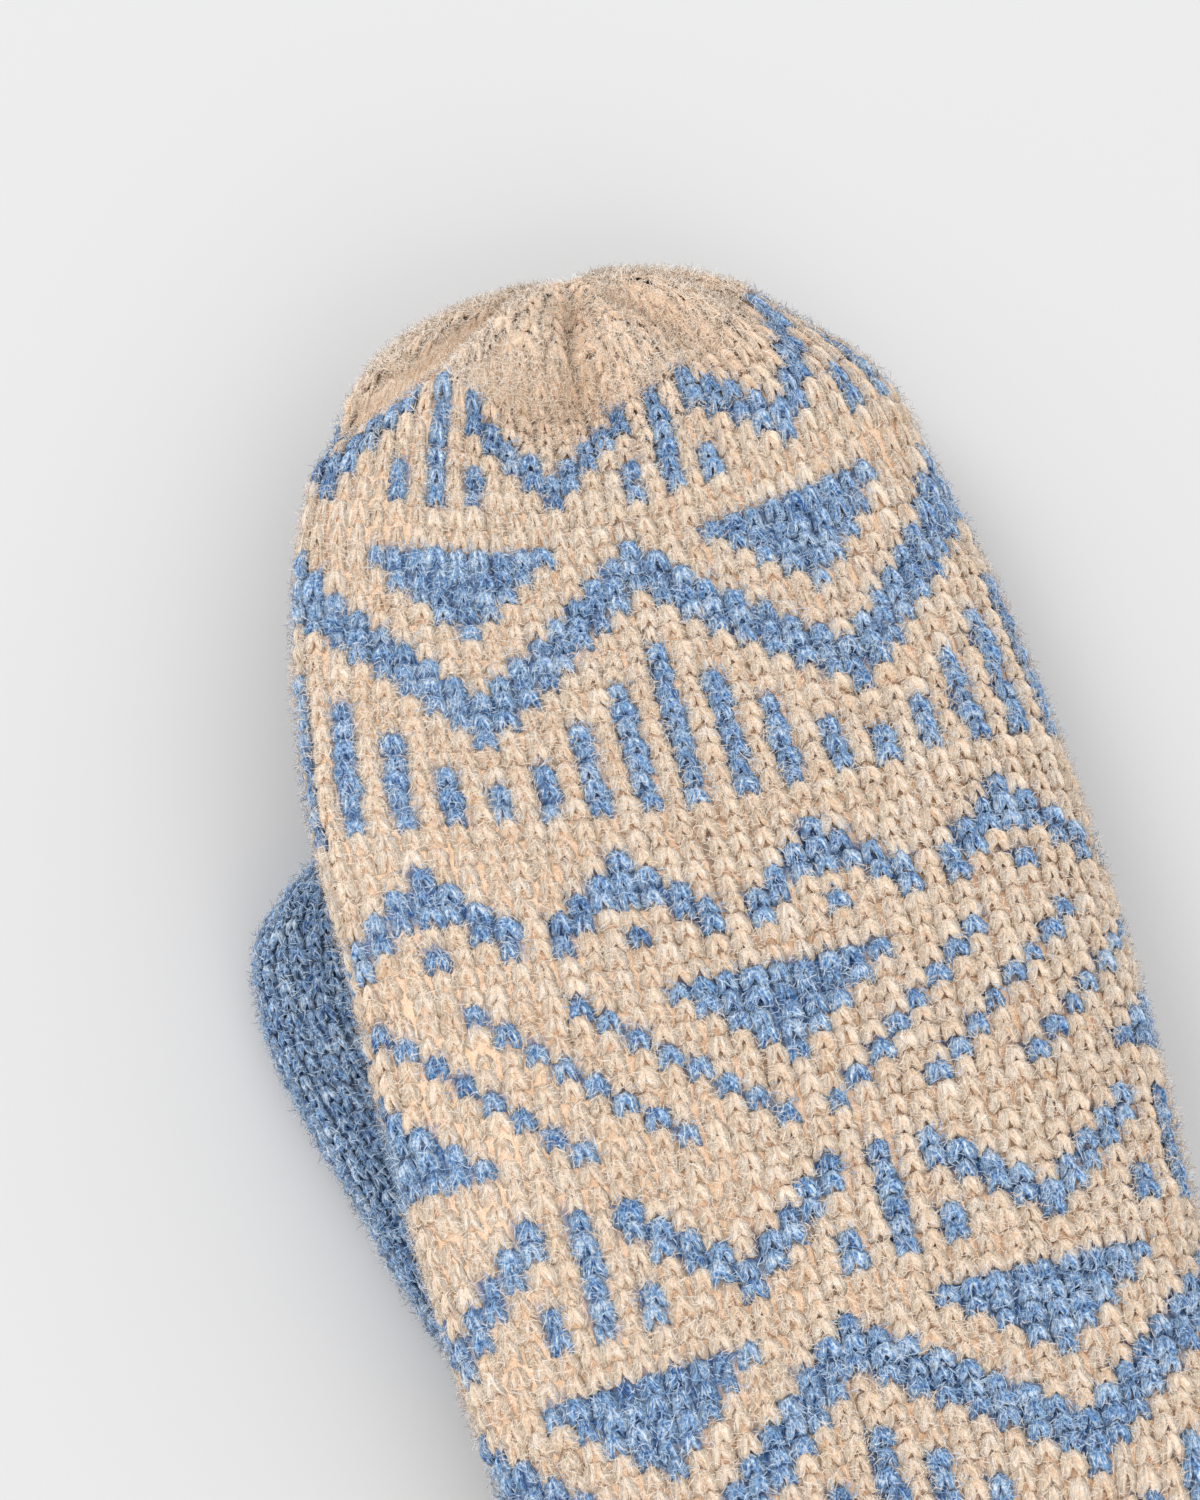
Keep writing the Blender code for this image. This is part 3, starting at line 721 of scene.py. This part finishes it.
# %% The hand's backing
BACKING_DEPTH, WALL_DEPTH = 1.05 * MM, 3.2 * MM
CAP_DEEPER = 0.4                  # share of the way to the inner wall that the backing sinks under the cap
CAP_LESS_GAP_LIGHT = 0.6                # share of the gaps' painted colour that it does without there
outer_hand, inner_hand = hand_fabric(BACKING_DEPTH), hand_fabric(WALL_DEPTH)
backing_rows = np.concatenate([np.arange(TIP_ROW, 0, 0.5), np.arange(0, LAST_ROW), [LAST_ROW]])
w, r = np.meshgrid(np.arange(0, HAND_WALES, 0.5), backing_rows)
blue = is_blue(np.floor(chart_wale(w + 0.5)).astype(int), np.floor(r).astype(int)).astype(float)
in_cap = (1 - ease(-9, -4, r)) * ease(TIP_ROW, -18, r)
deeper = CAP_DEEPER * in_cap[..., None]
backing = outer_hand.at(w, r) * (1 - deeper) + inner_hand.at(w, r) * deeper
hand_backing = shell("hand_backing", backing, inner_hand.at(w, r), blue, 1 - CAP_LESS_GAP_LIGHT * in_cap)
print("hand backing:", len(hand_backing.data.polygons), "faces")

# %% [markdown]
# ## The thumb
# The thumb is a small tube of the same knit in plain blue. It is pressed flat by the palm that lies on it.

# %% The thumb's knit
THUMB_WALES, THUMB_ROWS = 36, 44
THUMB_LOFT = 0.8                  # the thumb's knit is a little thinner than the hand's
SMALL_FORM_RINGS = 121
SMALL_WALL = 3.0 * MM             # thickness of the thumb's and the cuff's knit


def form_fabric(form, wales, rows, inset=0.0, round_ends=False):
    """A fabric on a form: even wales round each section, rows at even shares of the way along each column.

    With round_ends, the sections crowd towards both ends by a cosine, where a closed form turns fastest.
    """
    columns = wales * SAMPLES_PER_WALE
    alongs = np.linspace(0, 1, SMALL_FORM_RINGS)
    if round_ends:
        alongs = (1 - np.cos(math.pi * alongs)) / 2
    grid = np.array([even_ring(form, a, columns, 0.0, inset) for a in alongs])
    steps = np.linalg.norm(np.diff(grid, axis=0), axis=2)
    walked = np.concatenate([np.zeros((1, columns)), np.cumsum(steps, axis=0)])
    share = np.linspace(0, 1, rows * SAMPLES_PER_ROW + 1)
    places = np.stack([np.stack([np.interp(share * walked[-1, c], walked[:, c], grid[:, c, k])
                                 for c in range(columns)], 1) for k in range(3)], axis=-1)
    return Fabric(places, wales, 0, rows)


thumb = form_fabric(thumb_form, THUMB_WALES, THUMB_ROWS, round_ends=True)
inner_thumb = form_fabric(thumb_form, THUMB_WALES, THUMB_ROWS, SMALL_WALL, round_ends=True)
full_wale, full_row = rows_of_stitches(3, THUMB_ROWS - 4, 1, 0, THUMB_WALES)
tip_wale, tip_row = rows_of_stitches(1, 2, 2, 0, THUMB_WALES)
root_wale, root_row = rows_of_stitches(THUMB_ROWS - 3, THUMB_ROWS - 2, 2, 0, THUMB_WALES)
wale = np.concatenate([full_wale, tip_wale + 0.5, root_wale + 0.5])
row = np.concatenate([full_row, tip_row, root_row])
width = np.where((row < 3) | (row > THUMB_ROWS - 4), 2.0, 1.0)
pieces.append(knit("thumb_stitches", thumb, wale, row, 1 + 0 * wale, PLAIN_STITCH, 21, width, THUMB_LOFT))
w, r = np.meshgrid(np.arange(0.0, THUMB_WALES), np.arange(0.0, THUMB_ROWS + 1))
under_stitches = thumb.at(w, r, np.full(w.shape, -BACKING_DEPTH))
# the backing is painted with the gaps' shade
thumb_backing = shell("thumb_backing", under_stitches, inner_thumb.at(w, r), 1.0)
print("thumb backing:", len(thumb_backing.data.polygons), "faces")

# %% [markdown]
# ## The ribbed cuff
# A rib is two columns of knit stitches beside two columns of purl, over and over. The knit columns stand up
# in round ridges and the purl columns sink between them. We sink the form by a cosine with one wave for
# each rib and put the same stitches on its ridges. A purl stitch shows only its bump, a short bar across
# the column.

# %% The cuff's knit
RIB_COUNT, CUFF_ROWS = 16, 21
RIB_DEPTH = 0.9 * MM
CUFF_WALES = RIB_COUNT * 4
FIRST_CUFF_ROW = 0.4              # the first row of the cuff lies this much of a row below its upper edge


def sink_ribs(fabric):
    """Sinks the fabric by a cosine with one wave for each rib: it is high at wales 0, 1 and low at 2, 3."""
    columns = fabric.places.shape[1]
    wave = np.cos(2 * math.pi * (np.arange(columns) / columns * RIB_COUNT - 0.125))
    sunk = fabric.places - fabric.normals * (RIB_DEPTH * (0.5 - 0.5 * wave))[None, :, None]
    sunk[..., 1] = fabric.places[..., 1]
    sunk[..., 2] = np.maximum(sunk[..., 2], RIB_CLEAR)
    return Fabric(sunk, fabric.wales, fabric.first_row, fabric.last_row)


cuff = sink_ribs(form_fabric(cuff_form, CUFF_WALES, CUFF_ROWS))
inner_cuff = form_fabric(cuff_form, CUFF_WALES, CUFF_ROWS, SMALL_WALL)
all_wales, all_rows = rows_of_stitches(0, CUFF_ROWS - 2, 1, 0, CUFF_WALES)
is_knit = (all_wales % 4) < 2
wale, row = all_wales[is_knit], all_rows[is_knit] + FIRST_CUFF_ROW
pieces.append(knit("cuff_knit_stitches", cuff, wale, row, 1 + 0 * wale, FULL_STITCH, 31))


def purl_template():
    """A purl bump: a leg laid across its column.

    The way down the leg becomes the way across, 0.75 as long, and its own width becomes rows.
    """
    leg, faces = leg_template(5, 4)
    bump = leg.copy()
    bump[:, 0] = (leg[:, 1] - 0.43) * 0.75
    bump[:, 1] = 0.5 - (leg[:, 0] - 0.22) * 1.2
    bump[:, 2] = leg[:, 2] * 0.9 - 0.1
    return bump, faces[:, ::-1]


wale, row = all_wales[~is_knit], all_rows[~is_knit] + FIRST_CUFF_ROW
pieces.append(knit("cuff_purl_stitches", cuff, wale, row, 1 + 0 * wale, purl_template(), 32))
w, r = np.meshgrid(np.arange(0, CUFF_WALES, 0.5), np.arange(0.0, CUFF_ROWS + 1))
under_stitches = cuff.at(w, r, np.full(w.shape, -BACKING_DEPTH))
# the backing is painted with the gaps' shade
cuff_backing = shell("cuff_backing", under_stitches, inner_cuff.at(w, r), 1.0)
print("cuff backing:", len(cuff_backing.data.polygons), "faces")

# %% [markdown]
# ## The fleece lining
# Fleece is a knitted cloth brushed into a soft pile. It shows only in the mouth of the cuff. It is a bag
# with the hand's own form, moved in by the knit's wall, and its face is dimpled by a product of waves that
# never line up.

# %% The fleece
FLEECE_WALL = 2.0 * MM
FLEECE_SETBACK = 3.5 * MM         # from the outside of the knit to the fleece
MOUTH_SETBACK = 4.0 * MM          # from the mouth of the cuff to the end of the fleece
FLEECE_COLUMNS = 120
RINGS_IN_HAND, RINGS_IN_CUFF = 50, 24
LAST_IN_HAND, FIRST_IN_CUFF = 0.94, 0.06    # shares of their lengths between which the bag passes over
DIMPLE = 0.12 * MM


def fleece_grid(depth):
    """The bag's form: the hand's sections from the tip to near the wrist, then the cuff's to near its mouth.

    Each section is the knit's own, moved inwards by the setback + depth, and sunk where the tip folds.
    """
    inset = FLEECE_SETBACK + depth
    alongs = np.linspace(0, 1, RINGS_IN_HAND) ** RING_CROWDING * LAST_IN_HAND
    around = (WALE_START + np.arange(FLEECE_COLUMNS) / FLEECE_COLUMNS) % 1
    outside = np.array([even_ring(hand_form, a, FLEECE_COLUMNS, WALE_START) for a in alongs])
    in_hand = [even_ring(hand_form, a, FLEECE_COLUMNS, WALE_START, inset) for a in alongs]
    to_mouth = np.linspace(FIRST_IN_CUFF, 1 - MOUTH_SETBACK / CUFF_LENGTH, RINGS_IN_CUFF)
    in_cuff = [even_ring(cuff_form, a, FLEECE_COLUMNS, WALE_START, inset) for a in to_mouth]
    sunk = outward(outside) * tip_folds(around[None, :], alongs[:, None])[..., None]
    return np.concatenate([np.array(in_hand) - sunk, np.array(in_cuff)])


outer_fleece, inner_fleece = fleece_grid(0), fleece_grid(FLEECE_WALL)
rows, columns = np.indices(inner_fleece.shape[:2])
dimples = np.sin(columns * 1.7 + 2 * np.sin(rows * 0.9)) * np.sin(rows * 1.9 + 1.7 * np.sin(columns * 0.8))
inner_fleece = inner_fleece + outward(inner_fleece) * (DIMPLE * dimples)[..., None]
fleece = shell("fleece_bag", outer_fleece, inner_fleece)
print("fleece:", len(fleece.data.polygons), "faces")

# %% [markdown]
# ## Loose fibres
# The yarn is brushed, so a haze of fine fibres stands off the knit and softens its outline. Hair particles
# would not survive an export, so each fibre is a thin kite of two triangles, bent at its middle and pointed
# at both ends. It starts on a stitch, takes that stitch's colour and leans a random way.

# %% Fibres
FIBRE_LENGTH = (0.9, 2.6)         # mm, shortest and longest
FIBRE_WIDTH = 0.19                # mm at its middle
FIBRE_LEAN = (0, 48)              # degrees up from the surface
FIBRE_SOLID = (0.85, 0.45, 0.45, 0.0)       # how solid it is at its root, its two middle corners and its tip
FIBRE_PAINTED_GLOW = 2.0                # how much lighter a fibre is painted where the cap's painted glow is full


def fibres(name, fabric, wale, row, blue, seed):
    """Kites from places on a fabric: root, two middle corners and tip.

    The first half runs a random way along the surface and leans up by FIBRE_LEAN, and the second half bends
    back down. A fibre is shaded with the fabric's own normal, so that it blends with the knit it lies on.
    """
    random = np.random.default_rng(seed)
    count = len(wale)
    base = fabric.at(wale, row, random.uniform(0.75, 1.25, count) * MM - SINK)
    out = fabric.at(wale, row, np.ones(count)) - fabric.at(wale, row, np.zeros(count))
    out /= np.maximum(np.linalg.norm(out, axis=1, keepdims=True), 1e-9)
    side = np.cross(out, random.normal(0, 1, (count, 3)))
    side /= np.maximum(np.linalg.norm(side, axis=1, keepdims=True), 1e-9)
    tilt = np.radians(random.uniform(*FIBRE_LEAN, count))[:, None]
    size = (random.uniform(*FIBRE_LENGTH, count) * MM)[:, None]
    first = side * np.cos(tilt) + out * np.sin(tilt)
    second = first + random.normal(0, 0.45, (count, 3)) - out * random.uniform(0.1, 0.9, count)[:, None]
    second /= np.maximum(np.linalg.norm(second, axis=1, keepdims=True), 1e-9)
    across = np.cross(first, out) + random.normal(0, 0.4, (count, 3))
    across /= np.maximum(np.linalg.norm(across, axis=1, keepdims=True), 1e-9)
    middle = base + first * size * 0.5
    tip = middle + second * size * 0.5
    for bend in (base, middle, tip):
        bend[:, 2] = np.maximum(bend[:, 2], FIBRE_CLEAR)
    half = across * FIBRE_WIDTH * MM / 2
    points = np.stack([base, middle - half, middle + half, tip], 1).reshape(-1, 3)
    faces = np.array([(0, 2, 1), (1, 2, 3)])[None] + np.arange(count)[:, None, None] * 4
    # fibres a little paler than the knit, with painted shade in the tip's folds
    shade = random.normal(1.5, 2.5, count) - FOLD_SHADE * fabric.fold_at(wale, row)
    # painted light on the cap
    shade += FIBRE_PAINTED_GLOW * painted_cap_glow_of(row) * (1 - blue)
    numbers = {"blue": np.repeat(blue, 4), "shade": np.repeat(shade, 4),
               "depth": np.zeros(len(points)), "solid": np.tile(FIBRE_SOLID, count)}
    print(name, count, "fibres")
    normals = np.repeat(out + 0.35 * first, 4, axis=0)
    normals /= np.linalg.norm(normals, axis=1, keepdims=True)
    return new_piece(name, points, faces.reshape(-1, 3), numbers, np.zeros((len(points), 2)), normals=normals)


def haze(name, fabric, low, high, first, last, count, seed, colour=None, power=1.0):
    """Fibres scattered over a block of a fabric. Each takes the colour of the stitch that it starts on.

    power: 1 spreads them evenly over the rows, and less leaves the first rows thinner, where the fabric is
    narrow. colour: 1 where all of them are blue.
    """
    random = np.random.default_rng(seed + 100)
    wale = random.uniform(low, high, count)
    row = first + (last - first) * random.uniform(0, 1, count) ** power
    if colour is None:
        whole = chart_wale(np.round(wale)).astype(int)
        blue = is_blue(whole, np.floor(row + 0.1).astype(int)).astype(float)
    else:
        blue = np.full(count, float(colour))
    return fibres(name, fabric, wale, row, blue, seed)


pieces += [
    haze("cap_fibres", hand, -30, 30, TIP_ROW + 1, -8, 28000, 40, power=0.5),
    haze("back_fibres_upper", hand, -21, 21, -9, 16, 46000, 41),
    haze("back_fibres_lower", hand, -21, 21, 16, LAST_ROW - 1, 60000, 42),
    haze("palm_fibres", hand, 21, HAND_WALES - 21, TIP_ROW + 3, LAST_ROW - 1, 16000, 43),
    haze("thumb_fibres", thumb, 0, THUMB_WALES, 1, THUMB_ROWS - 1, 24000, 44, colour=1),
    haze("cuff_fibres", cuff, 0, CUFF_WALES, 0.5, CUFF_ROWS - 1, 10000, 45, colour=1),
]

# %% [markdown]
# ## Yarn as a material
# Brushed yarn is matt, with a pale bloom at grazing angles, and no two stitches have quite the same colour.
# The base colour mixes cream and blue by the number that each point carries, and then light and dark flecks
# by noise. Arithmetic on sockets is clearer as Python, so a small class turns plus, minus and times into
# Math nodes.

# %% Shader helpers


class Value:
    """A socket that can be used in sums. Each operator adds a Math node and returns its output."""

    def __init__(self, tree, socket):
        self.tree, self.socket = tree, socket

    def math(self, operation, other=None, swap=False):
        """One Math node on this value and the other. swap: the other comes first."""
        node = self.tree.nodes.new("ShaderNodeMath")
        node.operation = operation
        terms = [self, other] if not swap else [other, self]
        for slot, term in enumerate(t for t in terms if t is not None):
            if isinstance(term, Value):
                self.tree.links.new(term.socket, node.inputs[slot])
            else:
                node.inputs[slot].default_value = term
        return Value(self.tree, node.outputs[0])

    def __add__(self, other):
        return self.math("ADD", other)

    def __radd__(self, other):
        return self.math("ADD", other, True)

    def __sub__(self, other):
        return self.math("SUBTRACT", other)

    def __rsub__(self, other):
        return self.math("SUBTRACT", other, True)

    def __mul__(self, other):
        return self.math("MULTIPLY", other)

    def __rmul__(self, other):
        return self.math("MULTIPLY", other, True)

    def clamp(self):
        """The value kept between 0 and 1."""
        return self.math("MAXIMUM", 0.0).math("MINIMUM", 1.0)


class Finish:
    """A new material with its Principled shader, and one method that adds any node to it."""

    def __init__(self, name, roughness, **constants):
        self.material = bpy.data.materials.new(name)
        self.material.use_nodes = True
        self.tree = self.material.node_tree
        self.shader = self.tree.nodes["Principled BSDF"]
        self.shader.inputs["Roughness"].default_value = roughness
        for socket, value in constants.items():
            self.shader.inputs[socket.replace("_", " ")].default_value = value

    def node(self, kind, settings=None, out=0, **sockets):
        """Adds a node. settings are its properties, and sockets are values or links.

        A socket goes by its name, with _ for a space, or by i and its number.
        """
        node = self.tree.nodes.new(kind)
        for key, value in (settings or {}).items():
            setattr(node, key, value)
        for key, value in sockets.items():
            numbered = key[0] == "i" and key[1:].isdigit()
            socket = node.inputs[int(key[1:]) if numbered else key.replace("_", " ")]
            if isinstance(value, Value):
                self.tree.links.new(value.socket, socket)
            else:
                socket.default_value = value
        return Value(self.tree, node.outputs[out])

    def mix(self, factor, first, second):
        """A colour mix. first and second are colours or links."""
        return self.node("ShaderNodeMix", {"data_type": "RGBA"}, out=2, i6=first, i7=second, i0=factor)

    def noise(self, scale, detail=2.0, vector=None):
        """Smooth noise on the piece's own coordinates, or on a vector. scale: its lumps in one unit."""
        place = vector or self.node("ShaderNodeTexCoord", out=3)
        return self.node("ShaderNodeTexNoise", Vector=place, Scale=scale, Detail=detail)

    def attribute(self, name):
        """The number that each point carries under a name."""
        return self.node("ShaderNodeAttribute", {"attribute_name": name}, out=2)

    def to(self, socket, value):
        """Links a value to a socket of the shader."""
        self.tree.links.new(value.socket, self.shader.inputs[socket])


def linear(red, green, blue):
    """A colour as seen on a screen, 0 to 255, as the linear values that a shader takes."""
    screen = np.array([red, green, blue]) / 255
    return (*np.where(screen <= 0.04045, screen / 12.92, ((screen + 0.055) / 1.055) ** 2.4).tolist(), 1.0)


print("a middle grey as a shader takes it:", round(linear(128, 128, 128)[0], 3))

# %% Yarn
# The gap colours are painted light: a warm glow in the cream's gaps and shade in the blue's. The deep colours
# also carry the painted shade of the tip's folds, and the pale ones the painted light on the cap.
CREAM = linear(240, 221, 199)
CREAM_PALE, CREAM_DEEP, CREAM_GAP_GLOW = linear(250, 241, 230), linear(218, 182, 146), linear(253, 214, 177)
BLUE = linear(130, 174, 218)
BLUE_PALE, BLUE_DEEP, BLUE_GAP_SHADE = linear(232, 244, 255), linear(42, 86, 146), linear(30, 64, 118)
WOOL_BUMP = 0.6 * MM


def yarn(name, flecks=1.0, loose=False):
    """Brushed yarn: colour by the point's own number, flecks by noise, a bloom of sheen, and a woolly bump.

    light = (strand noise + fleck noise + cloud noise) times the contrast + the stitch's own shade, which
    holds painted shade in the tip's folds and painted light on the cap. Its positive part mixes in the pale
    colour and its negative part the deep one, and the point's depth mixes in the colour of the gaps: a
    painted warm glow on cream and painted shade on blue. Strand noise is drawn out along the leg and wound
    round it.
    A loose fibre thins out to its tip.
    """
    finish = Finish(name, 0.92, Sheen_Weight=0.35, Sheen_Roughness=0.5, Specular_IOR_Level=0.15)
    blue, shade, depth = (finish.attribute(key) for key in ("blue", "shade", "depth"))
    uv = finish.node("ShaderNodeTexCoord", out=2)
    along = finish.node("ShaderNodeMapping", Vector=uv, Scale=(2.2, 12.0, 1.0), Rotation=(0.0, 0.0, 0.35))
    strand, fleck, cloud = finish.noise(1.0, 2.0, along), finish.noise(2200.0, 2.0), finish.noise(300.0, 2.0)
    contrast = blue * 0.45 + flecks * 0.8
    light = ((strand - 0.5) * 4.5 + (fleck - 0.5) * 3.0 + (cloud - 0.5) * 1.2) * contrast + shade * 0.18
    pale, deep = light.clamp(), (light * -1.0).clamp()
    # the gaps' painted colour: a painted warm glow on cream and painted shade on blue
    painted_gap_light = (depth * 0.70).clamp()
    cream = finish.mix(painted_gap_light, finish.mix(deep, finish.mix(pale, CREAM, CREAM_PALE), CREAM_DEEP), CREAM_GAP_GLOW)
    sky = finish.mix(painted_gap_light, finish.mix(deep, finish.mix(pale, BLUE, BLUE_PALE), BLUE_DEEP), BLUE_GAP_SHADE)
    finish.to("Base Color", finish.mix(blue, cream, sky))
    if loose:
        finish.to("Alpha", finish.attribute("solid"))
    else:
        wool = strand + finish.noise(1700.0, 3.0) * 0.7
        finish.to("Normal", finish.node("ShaderNodeBump", Strength=1.0, Distance=WOOL_BUMP, Height=wool))
    return finish.material


stitch_yarn = yarn("brushed_yarn")
backing_yarn = yarn("backing_yarn")
fibre_yarn = yarn("loose_fibre", flecks=0.3, loose=True)


def fleece_finish():
    """Pale fleece: a soft pile, with small clumps as bump and faint shading between them."""
    finish = Finish("fleece_pile", 0.95, Sheen_Weight=0.5, Sheen_Roughness=0.4, Specular_IOR_Level=0.15)
    clump = finish.noise(420.0, 3.0)
    finish.to("Base Color", finish.mix(clump, linear(214, 200, 182), linear(240, 230, 216)))
    finish.to("Normal", finish.node("ShaderNodeBump", Strength=0.8, Distance=0.6 * MM, Height=clump))
    return finish.material


fleece.data.materials.append(fleece_finish())
for backing in (hand_backing, thumb_backing, cuff_backing):
    backing.data.materials.append(backing_yarn)
for piece in pieces:
    piece.data.materials.append(fibre_yarn if "fibres" in piece.name else stitch_yarn)
print("materials:", [m.name for m in bpy.data.materials if m.users])

# %% Ride on the frame
for piece in pieces + [hand_backing, thumb_backing, cuff_backing, fleece]:
    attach(piece, "root")
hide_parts("hand_shell")
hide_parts("thumb")
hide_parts("ribbed_cuff")
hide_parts("fleece_lining")
print(len(pieces) + 4, "pieces ride on the frame, and 4 of them stand in for the solids")

# %% [markdown]
# ## Floor, light and camera
# The mitten lies on a pale seamless surface in soft daylight from the upper left, so its shadows are narrow
# and soft. A wide area light and a weaker one opposite do that, and the pale world fills the rest. The
# camera looks down from the cuff's end, close enough that the wrist runs out of the frame.

# %% Floor


def pale_floor(reach):
    """A flat square sheet under the mitten, as far as reach to each side, with a finish of its own."""
    corners = reach * np.array([(-1, -1, 0), (1, -1, 0), (1, 1, 0), (-1, 1, 0)])
    floor = new_piece("floor", corners, np.array([(0, 1, 2, 3)]), smooth=False)
    finish = Finish("pale_paper", 0.9, Specular_IOR_Level=0.1)
    tone = finish.noise(3.0, 1.0)
    finish.to("Base Color", finish.mix(tone, linear(204, 204, 205), linear(208, 208, 208)))
    floor.data.materials.append(finish.material)
    print("floor:", 2 * reach, "m wide")


pale_floor(8.0)

# %% Light


def area_light(name, place, target, size, power):
    """A square soft white light at a place, aimed at a target."""
    data = bpy.data.lights.new(name, "AREA")
    data.size, data.energy = size, power
    lamp = bpy.data.objects.new(name, data)
    lamp.location = place
    lamp.rotation_euler = (Vector(target) - Vector(place)).to_track_quat("-Z", "Y").to_euler()
    bpy.context.scene.collection.objects.link(lamp)


area_light("window", (-2.1, 1.9, 2.4), (0, 0.03, 0), 1.8, 50.0)
area_light("reflector", (0.4, -2.6, 1.6), (0, 0.03, 0), 1.8, 24.0)
world = bpy.data.worlds.new("soft_sky")
world.use_nodes = True
world.node_tree.nodes["Background"].inputs["Color"].default_value = (1.0, 1.0, 1.0, 1)
world.node_tree.nodes["Background"].inputs["Strength"].default_value = 1.04
bpy.context.scene.world = world
bpy.context.scene.view_settings.view_transform = "Standard"
print("lights:", [(lamp.name, lamp.energy) for lamp in bpy.data.lights])

# %% Camera
CAMERA_AZIMUTH, CAMERA_ELEVATION, CAMERA_ROLL = -20.41, 63.22, 9.21
CAMERA_DISTANCE, CAMERA_LENS = 505.2 * MM, 89.2
CAMERA_TARGET = Vector((-5.9 * MM, 57.7 * MM, 20.0 * MM))


def place_camera():
    """A camera that looks at its target from an azimuth and elevation, then rolls about its own axis."""
    azimuth, elevation, roll = (math.radians(v) for v in (CAMERA_AZIMUTH, CAMERA_ELEVATION, CAMERA_ROLL))
    forward = Vector((math.sin(-azimuth) * math.cos(elevation), math.cos(azimuth) * math.cos(elevation),
                      -math.sin(elevation)))
    right = forward.cross(Vector((0, 0, 1))).normalized()
    up = right.cross(forward)
    rolled = right * math.cos(roll) + up * math.sin(roll)
    upward = -right * math.sin(roll) + up * math.cos(roll)
    data = bpy.data.cameras.new("camera")
    data.lens, data.sensor_fit, data.sensor_height, data.sensor_width = CAMERA_LENS, "VERTICAL", 36.0, 36.0
    data.clip_start, data.clip_end = 0.01, 20.0
    camera = bpy.data.objects.new("camera", data)
    turn = Matrix((rolled, upward, -forward)).transposed().to_4x4()
    camera.matrix_world = Matrix.Translation(CAMERA_TARGET - forward * CAMERA_DISTANCE) @ turn
    bpy.context.scene.collection.objects.link(camera)
    bpy.context.scene.camera = camera
    print("camera at, mm:", [round(v / MM) for v in camera.matrix_world.translation])


place_camera()
